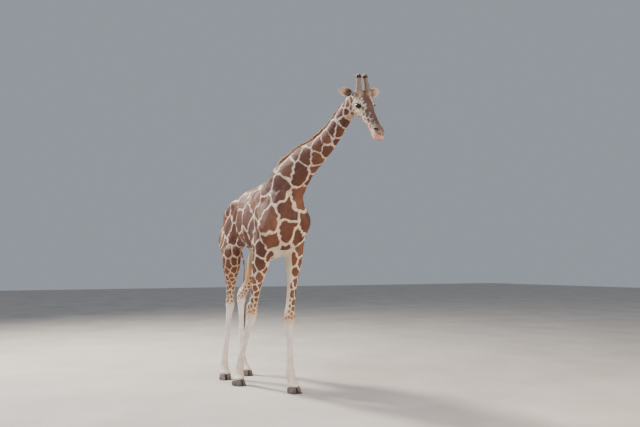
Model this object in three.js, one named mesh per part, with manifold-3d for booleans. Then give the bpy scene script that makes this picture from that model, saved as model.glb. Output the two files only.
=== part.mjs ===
// A reticulated giraffe at life size, in a slow walk, as a still museum model.
//
// Millimetres. +X points from the rump to the chest, +Y to the animal's left, +Z up.
// The animal is modelled with its hooves on Z = 0; the finished group is moved along X and Y
// only, so that the origin lies under the middle of its box.
//
// The body is one smooth field of muscle masses. Each part of flesh is a plain capsule whose
// rings are pushed out along straight rays until they reach that field, as clay is laid over
// an armature. Neighbouring parts come from one capsule, parted by a thin flat cut.

import * as THREE from 'three';
import { mergeVertices } from 'three/addons/utils/BufferGeometryUtils.js';
import Module from 'manifold-3d';

const wasm = await Module();
wasm.setup();

// ------------------------------------------------------------------ driving dimensions

const GAP = 0.4; // clearance between two pieces that touch
const X = new THREE.Vector3(1, 0, 0);
const Y = new THREE.Vector3(0, 1, 0);
const Z = new THREE.Vector3(0, 0, 1);
const SIDES = { left: 1, right: -1 };

// Joint centres of the legs in this stride: the left pair is spread, the right pair nearly meets.
const FORE_JOINTS = {
  left: {
    shoulder: [625, 222, 2166], elbow: [455, 246, 1761], knee: [436, 184, 920],
    fetlock: [452, 192, 225], hoof: [590, 190, 0], toeTurn: 0,
  },
  right: {
    shoulder: [552, -158, 2066], elbow: [345, -178, 1671], knee: [28, -175, 985],
    fetlock: [-338, -196, 262], hoof: [-240, -234, 0], toeTurn: 16,
  },
};
const HIND_JOINTS = {
  left: {
    hip: [-690, 160, 2140], stifle: [-640, 210, 1680], hock: [-1160, 138, 1115],
    fetlock: [-1126, 146, 238], hoof: [-962, 162, 0], toeTurn: 4,
  },
  right: {
    hip: [-690, -160, 2140], stifle: [-530, -255, 1700], hock: [-815, -165, 1070],
    fetlock: [-885, -215, 240], hoof: [-775, -238, 0], toeTurn: -10,
  },
};

const HOOF = { length: 205, width: 168, toeHeight: 98, heelHeight: 52, cleft: 7 };
const EYE_RADIUS = 30;
const OSSICONE = { root: 40, tip: 23 };
const EAR = { length: 205, width: 106, thickness: 15 };
const TAIL = { base: [-1040, 0, 2290], end: [-1190, 196, 1600], tuftEnd: [-1212, 205, 1275] };

// The head hangs nose down and is turned back a little from the line of the neck.
const HEAD = { at: [1699, 493, 3679], yaw: 5.6, pitch: 48.7, roll: 8, scale: 1.04 };

// Where the long capsules are parted.
const NECK_ROOT = { at: [735, 140, 2822], normal: [0.7, 0.24, 0.67] };
const NECK_TOP = { at: [1545, 435, 3520], normal: [0.52, 0.27, 0.81] };
const BELOW_ELBOW = 0.12; // share of the forearm that stays with the trunk
const BELOW_STIFLE = 0.18; // share of the shank that stays with the trunk

// ------------------------------------------------------------------ small vector helpers

const vec = (p) => new THREE.Vector3(...p);
const lerp = THREE.MathUtils.lerp;
const clamp = THREE.MathUtils.clamp;
const rad = THREE.MathUtils.degToRad;

const along = (a, b, t) => a.map((value, i) => lerp(value, b[i], t));
const shifted = (p, dx, dy, dz) => [p[0] + dx, p[1] + dy, p[2] + dz];

const headMatrix = new THREE.Matrix4()
  .makeRotationFromEuler(new THREE.Euler(rad(HEAD.roll), rad(HEAD.pitch), rad(HEAD.yaw), 'ZYX'))
  .scale(new THREE.Vector3().setScalar(HEAD.scale))
  .setPosition(...HEAD.at);

/** A point given in the head's own axes: x along the face, y left, z out of the forehead. */
const onHead = (x, y, z) => new THREE.Vector3(x, y, z).applyMatrix4(headMatrix).toArray();
const headSide = new THREE.Vector3(0, 1, 0).transformDirection(headMatrix);
const headUp = new THREE.Vector3(0, 0, 1).transformDirection(headMatrix);

// ------------------------------------------------------------------ masses and their field

/**
 * A chain of beads [x, y, z, half depth, width share]: a muscle or bone with a round or oval
 * section. The width share is the half width across `side` over the half depth.
 */
function chain(beads, { side = Y, blend = 30 } = {}) {
  const points = beads.map(([x, y, z, radius, flat = 1]) => ({ at: vec([x, y, z]), radius, flat }));
  const links = points.length > 1
    ? points.slice(1).map((end, i) => ({ start: points[i], end }))
    : [{ start: points[0], end: points[0] }];
  for (const link of links) {
    link.span = link.end.at.clone().sub(link.start.at);
    link.spanSq = Math.max(link.span.lengthSq(), 1e-6);
  }
  return { links, side, blend };
}

const offset = new THREE.Vector3();

/** Distance from a point to one link, corrected for its oval section. */
function linkDistance(link, side, point) {
  offset.subVectors(point, link.start.at);
  const t = clamp(offset.dot(link.span) / link.spanSq, 0, 1);
  offset.addScaledVector(link.span, -t);
  const radius = lerp(link.start.radius, link.end.radius, t);
  const flat = lerp(link.start.flat, link.end.flat, t);
  const across = offset.dot(side);
  const deepSq = Math.max(offset.lengthSq() - across * across, 0);
  const reach = Math.hypot(Math.sqrt(deepSq), across / flat);
  const slope = Math.hypot(Math.sqrt(deepSq), across / (flat * flat)) / Math.max(reach, 1e-6);
  return (reach - radius) / Math.max(slope, 1e-3);
}

/** Smooth minimum: the crease between two masses is filled over the width k. */
function smoothMin(a, b, k) {
  const overlap = Math.max(k - Math.abs(a - b), 0) / k;
  return Math.min(a, b) - (overlap * overlap * k) / 4;
}

const LINK_BLEND = 8;

function fieldOf(chains) {
  return (point) => chains.reduce((total, { links, side, blend }) => {
    const own = links.reduce((d, link) => smoothMin(d, linkDistance(link, side, point), LINK_BLEND), 1e4);
    return smoothMin(total, own, blend);
  }, 1e4);
}

const bothSides = (make) => Object.values(SIDES).flatMap((s) => make(s));

// ------------------------------------------------------------------ trunk

const trunkMasses = [
  // rib cage, deep chest and belly
  chain([[330, 35, 2178, 390, 0.7], [20, 10, 2195, 440, 0.68], [-380, 0, 2270, 350, 0.78]], { blend: 60 }),
  chain([[440, 38, 2035, 285, 0.78], [180, 15, 2015, 355, 0.66]], { blend: 60 }),
  chain([[-40, 0, 2130, 345, 0.8], [-520, 0, 2190, 265, 0.92]], { blend: 60 }),
  // withers and the line of the back
  chain([[330, 36, 2635, 130, 0.8], [110, 15, 2640, 110, 0.7], [-330, 0, 2600, 84, 0.8]], { blend: 90 }),
  chain([[-330, 0, 2425, 245, 0.95], [-720, 0, 2340, 245, 1]], { blend: 60 }),
  // croup falling to the root of the tail
  chain([[-720, 0, 2330, 245, 1.05], [-985, 0, 2205, 120, 1.2]], { blend: 60 }),
  // breast, from the root of the neck down between the forelegs
  chain([[500, 52, 2430, 238, 0.85], [530, 42, 2208, 232, 1.05], [495, 40, 2026, 217, 1.1],
    [375, 38, 1884, 170, 1.1]], { blend: 80 }),
];

const shoulderMasses = bothSides((s) => {
  const leg = s > 0 ? FORE_JOINTS.left : FORE_JOINTS.right;
  const top = [s > 0 ? 150 : 40, s * 145 + 15, 2600];
  return [
    // shoulder blade, with the muscles before and behind its spine
    chain([[...top, 70, 0.8], [...along(top, leg.shoulder, 0.55), 110, 0.8], [...leg.shoulder, 140, 0.9]],
      { blend: 70 }),
    // muscle that runs from the neck over the point of the shoulder
    chain([[590, s * 60 + 62, 2528, 165, 0.8], [...shifted(leg.shoulder, 5, s * 2, 0), 148, 0.95]],
      { blend: 80 }),
    // triceps, from the blade to the elbow
    chain([[...shifted(leg.elbow, -150, s * -20, 440), 150, 0.7],
      [...shifted(leg.elbow, -30, 0, 170), 120, 0.85]], { blend: 70 }),
    chain([[...leg.shoulder, 140, 0.85], [...along(leg.shoulder, leg.elbow, 0.6), 130, 0.9]], { blend: 70 }),
  ];
});

const haunchMasses = bothSides((s) => {
  const leg = s > 0 ? HIND_JOINTS.left : HIND_JOINTS.right;
  return [
    // point of the hip and the muscle behind it
    chain([[-560, s * 165, 2440, 92, 1], [-800, s * 140, 2300, 150, 1]], { blend: 60 }),
    // thigh, from the hip to the stifle
    chain([[...leg.hip, 215, 0.72], [...along(leg.hip, leg.stifle, 0.7), 180, 0.72]],
      { blend: 50 }),
    // hamstrings, from the seat bone to the back of the shank
    chain([[-1000, s * 125, 2180, 118, 0.95], [-930, s * 185, 1970, 155, 0.8],
      [...shifted(leg.stifle, -200, 0, 175), 140, 0.8]], { blend: 60 }),
    // fold of the flank
    chain([[...shifted(leg.stifle, 60, s * -20, 110), 60, 0.6], [-330, s * 190, 1960, 70, 0.6]],
      { blend: 60 }),
  ];
});

// ------------------------------------------------------------------ legs

/** Beads along a bone: [share of the length, half depth, width share]. */
const bone = (from, to, girths) => girths.map(([t, radius, flat]) => [...along(from, to, t), radius, flat]);

const LEG_BLEND = 22;

function foreLegMasses({ elbow, knee, fetlock, hoof }) {
  const coronet = [lerp(fetlock[0], hoof[0], 0.68), lerp(fetlock[1], hoof[1], 0.8), 92];
  return [
    chain(bone(elbow, knee, [[0, 130, 0.9], [0.16, 119, 0.86], [0.3, 98, 0.86], [0.5, 70, 0.9],
      [0.82, 59, 1]]), { blend: LEG_BLEND }),
    // knee: a broad block of small bones, with the pisiform bone behind
    chain([[...shifted(knee, 4, 0, 95), 66, 1.04], [...shifted(knee, 10, 0, 10), 76, 1.06],
      [...shifted(knee, 4, 0, -55), 68, 1.05], [...shifted(knee, 0, 0, -105), 54, 1.05]],
      { blend: LEG_BLEND }),
    chain([[...shifted(knee, -54, 0, 60), 36, 0.9], [...shifted(knee, -50, 0, -20), 30, 0.9]], { blend: 30 }),
    chain(bone(knee, fetlock, [[0.08, 50, 1], [0.3, 42, 0.98], [0.7, 42, 0.98], [0.9, 50, 1.05]]),
      { blend: LEG_BLEND }),
    chain([[...fetlock, 64, 1.06]], { blend: LEG_BLEND }),
    chain([[...shifted(fetlock, -36, 0, -8), 44, 1.1]], { blend: LEG_BLEND }),
    chain([[...along(fetlock, coronet, 0.35), 52, 1.12], [...coronet, 68, 1.06]], { blend: 26 }),
  ];
}

function hindLegMasses({ stifle, hock, fetlock, hoof }) {
  const inward = hock[1] > 0 ? -14 : 14;
  const coronet = [lerp(fetlock[0], hoof[0], 0.68), lerp(fetlock[1], hoof[1], 0.8), 90];
  return [
    chain(bone(stifle, hock, [[0, 155, 0.84], [0.15, 146, 0.84], [0.35, 112, 0.84], [0.6, 76, 0.86],
      [0.88, 58, 0.95]]), { blend: LEG_BLEND }),
    chain([[...shifted(stifle, -165, 0, 150), 140, 0.8],
      [...shifted(along(stifle, hock, 0.3), -50, 0, 0), 96, 0.8]], { blend: 40 }),
    // the tendon that stands off behind the shank, down to the point of the hock
    chain([[...shifted(along(stifle, hock, 0.4), -75, 0, -10), 46, 0.7],
      [...shifted(hock, -64, inward, 104), 34, 0.85], [...shifted(hock, -72, inward, 66), 40, 0.95]],
      { blend: 34 }),
    chain([[...shifted(hock, 8, 0, 55), 68, 0.98], [...shifted(hock, 4, 0, -20), 68, 0.98],
      [...shifted(hock, 0, 0, -75), 54, 0.98]], { blend: LEG_BLEND }),
    chain(bone(hock, fetlock, [[0.1, 52, 0.9], [0.3, 42, 0.95], [0.7, 39, 1], [0.9, 46, 1.08]]),
      { blend: LEG_BLEND }),
    chain([[...fetlock, 57, 1.08]], { blend: LEG_BLEND }),
    chain([[...shifted(fetlock, -32, 0, -8), 40, 1.1]], { blend: LEG_BLEND }),
    chain([[...along(fetlock, coronet, 0.35), 49, 1.12], [...coronet, 64, 1.06]], { blend: 26 }),
  ];
}

// ------------------------------------------------------------------ neck

const NECK_LINE = [
  [451, 55, 2482], [581, 86, 2665], [827, 195, 2906], [991, 265, 2999], [1140, 326, 3101], [1274, 374, 3218],
  [1391, 415, 3348], [1507, 454, 3473], [1600, 475, 3570],
];
const NECK_DEPTH = [300, 265, 216, 177, 148, 131, 122, 116, 104];
const neckSide = new THREE.Vector3(-0.36, 0.93, 0).normalize();

const neckMasses = [
  // the root flares into the withers and the breast
  chain([[290, 25, 2330, 370, 0.66], [451, 55, 2482, 312, 0.68], [581, 86, 2665, 266, 0.7]],
    { side: neckSide, blend: 60 }),
  chain(NECK_LINE.map((p, i) => [...p, NECK_DEPTH[i], 0.7]), { side: neckSide, blend: 60 }),
];

// ------------------------------------------------------------------ head

const headBlend = { side: headSide, blend: 20 };
const headMasses = [
  // brain case, forehead and the bridge of the nose
  chain([[...onHead(40, 0, -78), 88, 0.95], [...onHead(150, 0, -78), 98, 0.98],
    [...onHead(260, 0, -82), 92, 0.92]], { side: headSide, blend: 30 }),
  chain([[...onHead(260, 0, -80), 90, 0.82], [...onHead(400, 0, -95), 74, 0.74],
    [...onHead(540, 0, -108), 58, 0.8], [...onHead(620, 0, -116), 56, 0.9]], { side: headSide, blend: 26 }),
  // low horn of the forehead and the roof between the ossicones
  chain([[...onHead(215, 0, -28), 56, 0.8], [...onHead(262, 0, -24), 44, 0.8]],
    { side: headSide, blend: 40 }),
  chain([[...onHead(60, 0, -40), 60, 1.2], [...onHead(120, 0, -28), 52, 1.3]], { side: headSide, blend: 40 }),
  // lower jaw, chin and lips
  chain([[...onHead(124, 0, -172), 76, 0.86], [...onHead(300, 0, -158), 52, 0.9],
    [...onHead(480, 0, -156), 40, 0.9], [...onHead(600, 0, -168), 34, 1]], { side: headSide, blend: 34 }),
  chain([[...onHead(612, 0, -118), 50, 0.94], [...onHead(668, 0, -130), 34, 1.05]], headBlend),
  chain([[...onHead(580, 0, -176), 32, 1.1], [...onHead(632, 0, -178), 25, 1.2]], headBlend),
  ...bothSides((s) => [
    // brow, cheek bone and the chewing muscle
    chain([[...onHead(165, s * 62, -40), 38, 1], [...onHead(215, s * 74, -42), 36, 1]], headBlend),
    chain([[...onHead(207, s * 74, -74), 40, 1]], headBlend),
    chain([[...onHead(235, s * 62, -112), 34, 1], [...onHead(390, s * 36, -112), 26, 1]], headBlend),
    chain([[...onHead(120, s * 50, -150), 58, 0.8], [...onHead(250, s * 42, -150), 46, 0.8]], headBlend),
    // root of the ossicone and of the ear
    chain([[...onHead(120, s * 52, -10), 42, 1], [...onHead(88, s * 54, 22), 34, 1]], headBlend),
    chain([[...onHead(40, s * 70, -52), 34, 1], [...onHead(34, s * 92, -46), 24, 1]], headBlend),
    // nostril
    chain([[...onHead(600, s * 32, -84), 22, 1], [...onHead(632, s * 30, -96), 20, 1]],
      { side: headSide, blend: 16 }),
  ]),
];

// ------------------------------------------------------------------ casting flesh on the field

const STEP = 6; // shortest stride of a ray, in millimetres
const FAR = 900; // longest ray

/** The first place where a ray from inside the body passes the level of the field. */
function reach(field, origin, direction, level) {
  const probe = new THREE.Vector3();
  const at = (t) => field(probe.copy(origin).addScaledVector(direction, t)) - level;
  let inside = 0;
  let outside = 0;
  while (outside < FAR) {
    const depth = at(outside);
    if (depth > 0) break;
    inside = outside;
    outside += Math.max(STEP, -depth * 0.7);
  }
  for (let i = 0; i < 16; i += 1) {
    const middle = (inside + outside) / 2;
    if (at(middle) > 0) outside = middle;
    else inside = middle;
  }
  return probe.copy(origin).addScaledVector(direction, (inside + outside) / 2).clone();
}

/**
 * A closed solid around a path: the rings and round ends of a capsule, cast outwards on the
 * field. `level` lifts the surface off the field, for the clearance round a neighbour.
 */
function cast({ field, path, rings, sides, caps = 3, up = Z, level = 0 }) {
  const curve = new THREE.CatmullRomCurve3(path.map(vec), false, 'centripetal');
  const geometry = new THREE.CapsuleGeometry(1, 1, caps, sides, rings);
  const position = geometry.getAttribute('position');
  const point = new THREE.Vector3();
  for (let i = 0; i < position.count; i += 1) {
    point.fromBufferAttribute(position, i);
    const t = clamp(point.y + 0.5, 0, 1);
    const past = clamp(point.y, -0.5, 0.5);
    const tangent = curve.getTangent(t);
    const raised = up.clone().addScaledVector(tangent, -up.dot(tangent)).normalize();
    const across = new THREE.Vector3().crossVectors(raised, tangent);
    const direction = new THREE.Vector3()
      .addScaledVector(raised, point.x)
      .addScaledVector(tangent, point.y - past)
      .addScaledVector(across, point.z)
      .normalize();
    position.setXYZ(i, ...reach(field, curve.getPoint(t), direction, level).toArray());
  }
  return solidOf(geometry);
}

// ------------------------------------------------------------------ solids, cuts and meshes

/** A manifold solid from a three.js geometry, with its shared corners merged. */
function solidOf(source) {
  const bare = source.clone();
  bare.deleteAttribute('normal');
  bare.deleteAttribute('uv');
  const geometry = mergeVertices(bare, 1e-3);
  const index = Array.from(geometry.index.array);
  const kept = [];
  for (let i = 0; i < index.length; i += 3) {
    const [a, b, c] = index.slice(i, i + 3);
    if (a !== b && b !== c && a !== c) kept.push(a, b, c);
  }
  return new wasm.Manifold(new wasm.Mesh({
    numProp: 3,
    vertProperties: Float32Array.from(geometry.getAttribute('position').array),
    triVerts: Uint32Array.from(kept),
  }));
}

/** All the space on the side of a plane that its normal points to. */
function beyond(at, normal, lift = 0) {
  const size = 6000;
  const direction = vec(normal).normalize();
  const box = new THREE.BoxGeometry(size, size, size);
  box.translate(0, 0, size / 2 + lift);
  box.applyQuaternion(new THREE.Quaternion().setFromUnitVectors(Z, direction));
  box.translate(...at);
  return solidOf(box);
}

/** Parts a solid at a plane, with half the gap taken from each side. */
function part(solid, at, normal) {
  const back = normal.map((value) => -value);
  return [solid.intersect(beyond(at, back, GAP / 2)), solid.intersect(beyond(at, normal, GAP / 2))];
}

const group = new THREE.Group();

function addMesh(name, solid, color, roughness = 0.8) {
  const { numProp, vertProperties, triVerts } = solid.getMesh();
  const geometry = new THREE.BufferGeometry();
  const position = new Float32Array((vertProperties.length / numProp) * 3);
  for (let i = 0; i < position.length / 3; i += 1) {
    for (let axis = 0; axis < 3; axis += 1) position[i * 3 + axis] = vertProperties[i * numProp + axis];
  }
  geometry.setAttribute('position', new THREE.BufferAttribute(position, 3));
  geometry.setIndex(Array.from(triVerts));
  geometry.computeVertexNormals();
  const material = new THREE.MeshStandardMaterial({ color, roughness, metalness: 0 });
  const mesh = new THREE.Mesh(geometry, material);
  mesh.name = name;
  group.add(mesh);
}

const COAT = 0x8a5a3c;
const PALE_COAT = 0xe2cfb6;
const HAIR = 0x3a2a22;
const HORN = 0x6e645c;
const EYE = 0x1c1310;

// ------------------------------------------------------------------ trunk, neck and legs

const SPINE = [
  [-960, 0, 2190], [-860, 0, 2200], [-600, 0, 2225], [-270, 0, 2230], [50, 10, 2220], [280, 22, 2200],
  [440, 30, 2180], [530, 40, 2170],
];
const trunkField = fieldOf([...trunkMasses, ...shoulderMasses, ...haunchMasses]);
const torsoShape = { field: trunkField, path: SPINE, rings: 22, sides: 24, caps: 5 };
const torso = cast(torsoShape);
const aroundTorso = cast({ ...torsoShape, level: GAP });

const neckField = fieldOf(neckMasses);
const neckShape = { field: neckField, path: NECK_LINE.slice(0, -1), rings: 20, sides: 18, caps: 3 };
const aroundNeck = cast({ ...neckShape, level: GAP });
const [neckRoot, neckAndTop] = part(cast(neckShape), NECK_ROOT.at, NECK_ROOT.normal);

let trunk = torso.add(neckRoot);

/** A whole leg, from inside the body to the coronet; its top stays with the trunk. */
function addLeg(name, masses, path, cutAt, cutNormal, hoofPose) {
  const whole = cast({ field: fieldOf(masses), path, rings: 22, sides: 10, caps: 1, up: X });
  const [below, root] = part(whole, cutAt, cutNormal);
  trunk = trunk.add(root);
  const { at, normal } = coronetPlane(hoofPose);
  addMesh(name, below.intersect(beyond(at, normal, GAP)), COAT);
}

/** The slanting top of the hoof: high at the toe, low at the heel. */
function coronetPlane({ hoof, toeTurn }) {
  const slope = (HOOF.toeHeight - HOOF.heelHeight) / HOOF.length;
  const turn = rad(toeTurn);
  return {
    at: [hoof[0], hoof[1], (HOOF.toeHeight + HOOF.heelHeight) / 2],
    normal: [-slope * Math.cos(turn), -slope * Math.sin(turn), 1],
  };
}

function footPath({ fetlock, hoof }) {
  const coronet = [lerp(fetlock[0], hoof[0], 0.68), lerp(fetlock[1], hoof[1], 0.8), 92];
  return [shifted(fetlock, 0, 0, 70), fetlock, along(fetlock, coronet, 0.5), coronet];
}

for (const name of Object.keys(SIDES)) {
  const fore = FORE_JOINTS[name];
  const shoulderToElbow = along(fore.shoulder, fore.elbow, 0.5);
  const forePath = [
    shoulderToElbow, fore.elbow, ...[0.2, 0.4, 0.6, 0.8].map((t) => along(fore.elbow, fore.knee, t)),
    shifted(fore.knee, 0, 0, 65), fore.knee, shifted(fore.knee, 0, 0, -65),
    ...[0.3, 0.6].map((t) => along(fore.knee, fore.fetlock, t)), ...footPath(fore),
  ];
  const foreMasses = [
    chain([[...shoulderToElbow, 124, 0.8], [...fore.elbow, 130, 0.9]], { blend: 20 }), ...foreLegMasses(fore),
  ];
  const foreArm = fore.elbow.map((value, i) => value - fore.knee[i]);
  addLeg(`foreleg_${name}`, foreMasses, forePath, along(fore.elbow, fore.knee, BELOW_ELBOW), foreArm, fore);

  const hind = HIND_JOINTS[name];
  const thigh = along(along(hind.hip, hind.stifle, 0.7), along(hind.stifle, hind.hock, -0.2), 0.5);
  const hindPath = [
    thigh, hind.stifle, ...[0.2, 0.4, 0.6, 0.8].map((t) => along(hind.stifle, hind.hock, t)),
    shifted(hind.hock, 0, 0, 60), hind.hock, shifted(hind.hock, 0, 0, -60),
    ...[0.3, 0.6].map((t) => along(hind.hock, hind.fetlock, t)), ...footPath(hind),
  ];
  const hindMasses = [
    chain([[...thigh, 165, 0.75], [...hind.stifle, 155, 0.82]], { blend: 20 }), ...hindLegMasses(hind),
  ];
  const shank = hind.stifle.map((value, i) => value - hind.hock[i]);
  addLeg(`hindleg_${name}`, hindMasses, hindPath, along(hind.stifle, hind.hock, BELOW_STIFLE), shank, hind);
}

// ------------------------------------------------------------------ tail

const TAIL_LINE = [
  TAIL.base, [-1128, 20, 2215], [-1185, 70, 2060], [-1196, 130, 1870], [-1192, 172, 1720], TAIL.end,
];
const TAIL_RADIUS = [62, 42, 27, 20, 17, 16];
const tailField = fieldOf([chain(TAIL_LINE.map((p, i) => [...p, TAIL_RADIUS[i], 1]))]);
const wholeTail = cast({ field: tailField, path: TAIL_LINE, rings: 10, sides: 8, caps: 1, up: X });
const tailRootSlope = [-0.45, 0.1, -0.88];
const [tailRoot, dock] = part(wholeTail, TAIL_LINE[1], tailRootSlope);
trunk = trunk.add(tailRoot);
const tuftLine = [along(TAIL.end, TAIL.tuftEnd, -0.12), along(TAIL.end, TAIL.tuftEnd, 0.4), TAIL.tuftEnd];
const tuftField = fieldOf([
  chain([[...tuftLine[0], 22, 1], [...tuftLine[1], 46, 1], [...tuftLine[2], 20, 1]]),
]);
const tuft = cast({ field: tuftField, path: tuftLine, rings: 6, sides: 8, caps: 2, up: X });
const dockAround = cast({
  field: tailField, path: TAIL_LINE, rings: 10, sides: 8, caps: 1, up: X, level: GAP,
});
addMesh('tail', dock.subtract(aroundTorso), COAT);
addMesh('tail_tuft', tuft.subtract(dockAround), HAIR);
addMesh('trunk', trunk, COAT);

// ------------------------------------------------------------------ head, with its eyes and horns

const HEAD_PATH = [
  [60, 0, -85], [140, 0, -90], [220, 0, -95], [320, 0, -108], [420, 0, -118], [520, 0, -124], [600, 0, -128],
  [640, 0, -130],
].map((p) => onHead(...p));
const headShape = { field: fieldOf(headMasses), path: HEAD_PATH, rings: 19, sides: 20, caps: 4, up: headUp };
const bareHead = cast(headShape);
const aroundHead = cast({ ...headShape, level: GAP });

const [neck, neckTop] = part(neckAndTop, NECK_TOP.at, NECK_TOP.normal);
addMesh('neck', neck.subtract(aroundHead), COAT);

function eyeBall(s, radius) {
  const ball = new THREE.SphereGeometry(radius, 12, 8);
  ball.rotateX(Math.PI / 2);
  ball.translate(...onHead(208, s * 88, -72));
  return solidOf(ball);
}

/** The opening between the lids: an almond, lower at its front corner. */
function lidOpening(s) {
  const almond = new THREE.SphereGeometry(1, 12, 8);
  almond.rotateX(Math.PI / 2);
  almond.scale(33, 16, 20);
  almond.rotateY(rad(14));
  almond.translate(208, s * 116, -73);
  almond.applyMatrix4(headMatrix);
  return solidOf(almond);
}

let head = bareHead.add(neckTop);
const hornRoot = { x: 92, y: 60, z: 12 };
const hornTip = { x: -52, y: 42, z: 140 };

for (const [name, s] of Object.entries(SIDES)) {
  head = head.subtract(eyeBall(s, EYE_RADIUS + GAP)).subtract(lidOpening(s));
  addMesh(`eye_${name}`, eyeBall(s, EYE_RADIUS), EYE, 0.1);

  const root = onHead(hornRoot.x, s * hornRoot.y, hornRoot.z);
  const tip = onHead(hornTip.x, s * hornTip.y, hornTip.z);
  const hornField = fieldOf([
    chain([[...root, OSSICONE.root, 1], [...along(root, tip, 0.45), OSSICONE.tip, 1],
      [...tip, OSSICONE.tip, 1]]),
  ]);
  const horn = cast({ field: hornField, path: [root, tip], rings: 5, sides: 10, caps: 3, up: headUp });
  addMesh(`ossicone_${name}`, horn.subtract(aroundHead), PALE_COAT);

  addMesh(`ear_${name}`, earLeaf(s).subtract(aroundHead), PALE_COAT);
}
addMesh('head', head, PALE_COAT);

/** A cupped leaf: a flat ball, widest past its root, with its hollow turned to the front. */
function earLeaf(s) {
  const leaf = new THREE.SphereGeometry(1, 12, 10);
  const position = leaf.getAttribute('position');
  const point = new THREE.Vector3();
  for (let i = 0; i < position.count; i += 1) {
    point.fromBufferAttribute(position, i);
    const t = (point.y + 1) / 2;
    const width = EAR.width * (0.8 + 0.5 * t - 0.8 * t * t);
    const cup = 34 * point.x * point.x;
    position.setXYZ(i, (point.x * width) / 2, t * EAR.length, (point.z * EAR.thickness) / 2 + cup);
  }
  // the leaf grows along `out`, with its hollow towards `front`
  const out = new THREE.Vector3(s > 0 ? 0.02 : -0.2, s, s > 0 ? 0.24 : 0.1).normalize();
  const hollow = new THREE.Vector3(0.8, s * 0.1, 0.6);
  const front = hollow.addScaledVector(out, -hollow.dot(out)).normalize();
  const across = new THREE.Vector3().crossVectors(out, front);
  leaf.applyMatrix4(new THREE.Matrix4().makeBasis(across, out, front).setPosition(32, s * 66, -44));
  leaf.applyMatrix4(headMatrix);
  return solidOf(leaf);
}

// ------------------------------------------------------------------ mane

const neckLineCurve = new THREE.CatmullRomCurve3(NECK_LINE.map(vec), false, 'centripetal');
const manePath = [0.16, 0.28, 0.4, 0.52, 0.64, 0.76, 0.9].map((t) => {
  const tangent = neckLineCurve.getTangent(t);
  const dorsal = Z.clone().addScaledVector(tangent, -Z.dot(tangent)).normalize();
  return reach(neckField, neckLineCurve.getPoint(t), dorsal, 0).toArray();
});
const maneField = fieldOf([chain(manePath.map((p) => [...p, 38, 0.36]), { side: neckSide })]);
const mane = cast({ field: maneField, path: manePath, rings: 14, sides: 6, caps: 1 });
addMesh('mane', mane.subtract(aroundNeck).subtract(aroundHead), HAIR);

// ------------------------------------------------------------------ hooves

/** Half of a cloven hoof. It leans back from the toe, and its sole is flat. */
function claw(pose, s) {
  const { hoof, toeTurn } = pose;
  const half = HOOF.length / 2;
  const inner = HOOF.cleft / 2;
  const outer = HOOF.width / 2;
  const outline = new THREE.Shape();
  outline.moveTo(-half + 12, inner);
  outline.lineTo(half * 0.55, inner);
  outline.quadraticCurveTo(half * 0.9, inner + 4, half, inner + 16);
  outline.quadraticCurveTo(half * 0.92, outer * 0.86, half * 0.2, outer);
  outline.quadraticCurveTo(-half * 0.6, outer * 1.06, -half, outer * 0.62);
  outline.quadraticCurveTo(-half - 6, inner + 8, -half + 12, inner);
  const height = HOOF.toeHeight + 30;
  const block = new THREE.ExtrudeGeometry(outline, {
    depth: height, steps: 1, bevelEnabled: false, curveSegments: 4,
  });
  const position = block.getAttribute('position');
  for (let i = 0; i < position.count; i += 1) {
    const [x, y, z] = [position.getX(i), position.getY(i), position.getZ(i)];
    const rise = z / height;
    const toeShare = (x + half) / HOOF.length;
    position.setX(i, x - rise * (18 + 62 * toeShare));
    position.setY(i, y * (1 - 0.16 * rise) + inner * 0.16 * rise);
  }
  if (s < 0) block.scale(1, -1, 1);
  block.rotateZ(rad(toeTurn));
  block.translate(hoof[0], hoof[1], hoof[2]);
  const solid = s < 0 ? solidOf(flipped(block)) : solidOf(block);
  const { at, normal } = coronetPlane(pose);
  return solid.intersect(beyond(at, normal.map((value) => -value)));
}

/** Turns the faces round after a mirror. */
function flipped(geometry) {
  const bare = geometry.clone();
  const position = bare.getAttribute('position');
  for (let i = 0; i < position.count; i += 3) {
    const a = new THREE.Vector3().fromBufferAttribute(position, i);
    const b = new THREE.Vector3().fromBufferAttribute(position, i + 1);
    position.setXYZ(i, ...b.toArray());
    position.setXYZ(i + 1, ...a.toArray());
  }
  return bare;
}

for (const [name, s] of Object.entries(SIDES)) {
  for (const [claws, outward] of [['outer', 1], ['inner', -1]]) {
    addMesh(`hoof_fore_${name}_${claws}`, claw(FORE_JOINTS[name], s * outward), HORN, 0.5);
    addMesh(`hoof_hind_${name}_${claws}`, claw(HIND_JOINTS[name], s * outward), HORN, 0.5);
  }
}

// ------------------------------------------------------------------ origin under the middle

const box = new THREE.Box3().setFromObject(group);
const middle = box.getCenter(new THREE.Vector3());
for (const mesh of group.children) mesh.geometry.translate(-middle.x, -middle.y, -box.min.z);

export default group;
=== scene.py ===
# %% [markdown]
# # A reticulated giraffe, life size
#
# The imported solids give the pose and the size. This lesson lays a skin over them, marks it with
# the net of pale lines, and then grows the coat: short flat hair on the body, a standing mane,
# a tail tassel, lashes and the dark tufts of the horns.

import math

import bmesh
import bpy
import numpy as np
from mathutils import Euler, Matrix, Vector
from mathutils.bvhtree import BVHTree


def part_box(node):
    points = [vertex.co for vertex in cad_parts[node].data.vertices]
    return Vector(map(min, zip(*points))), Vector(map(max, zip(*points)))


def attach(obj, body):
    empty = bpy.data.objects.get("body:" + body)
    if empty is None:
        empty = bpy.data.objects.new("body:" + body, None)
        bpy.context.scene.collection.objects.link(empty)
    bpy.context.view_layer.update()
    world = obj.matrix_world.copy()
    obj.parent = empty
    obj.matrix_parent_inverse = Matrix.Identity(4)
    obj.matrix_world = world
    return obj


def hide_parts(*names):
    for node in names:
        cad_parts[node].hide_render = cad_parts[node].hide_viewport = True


SEED = 11

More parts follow.
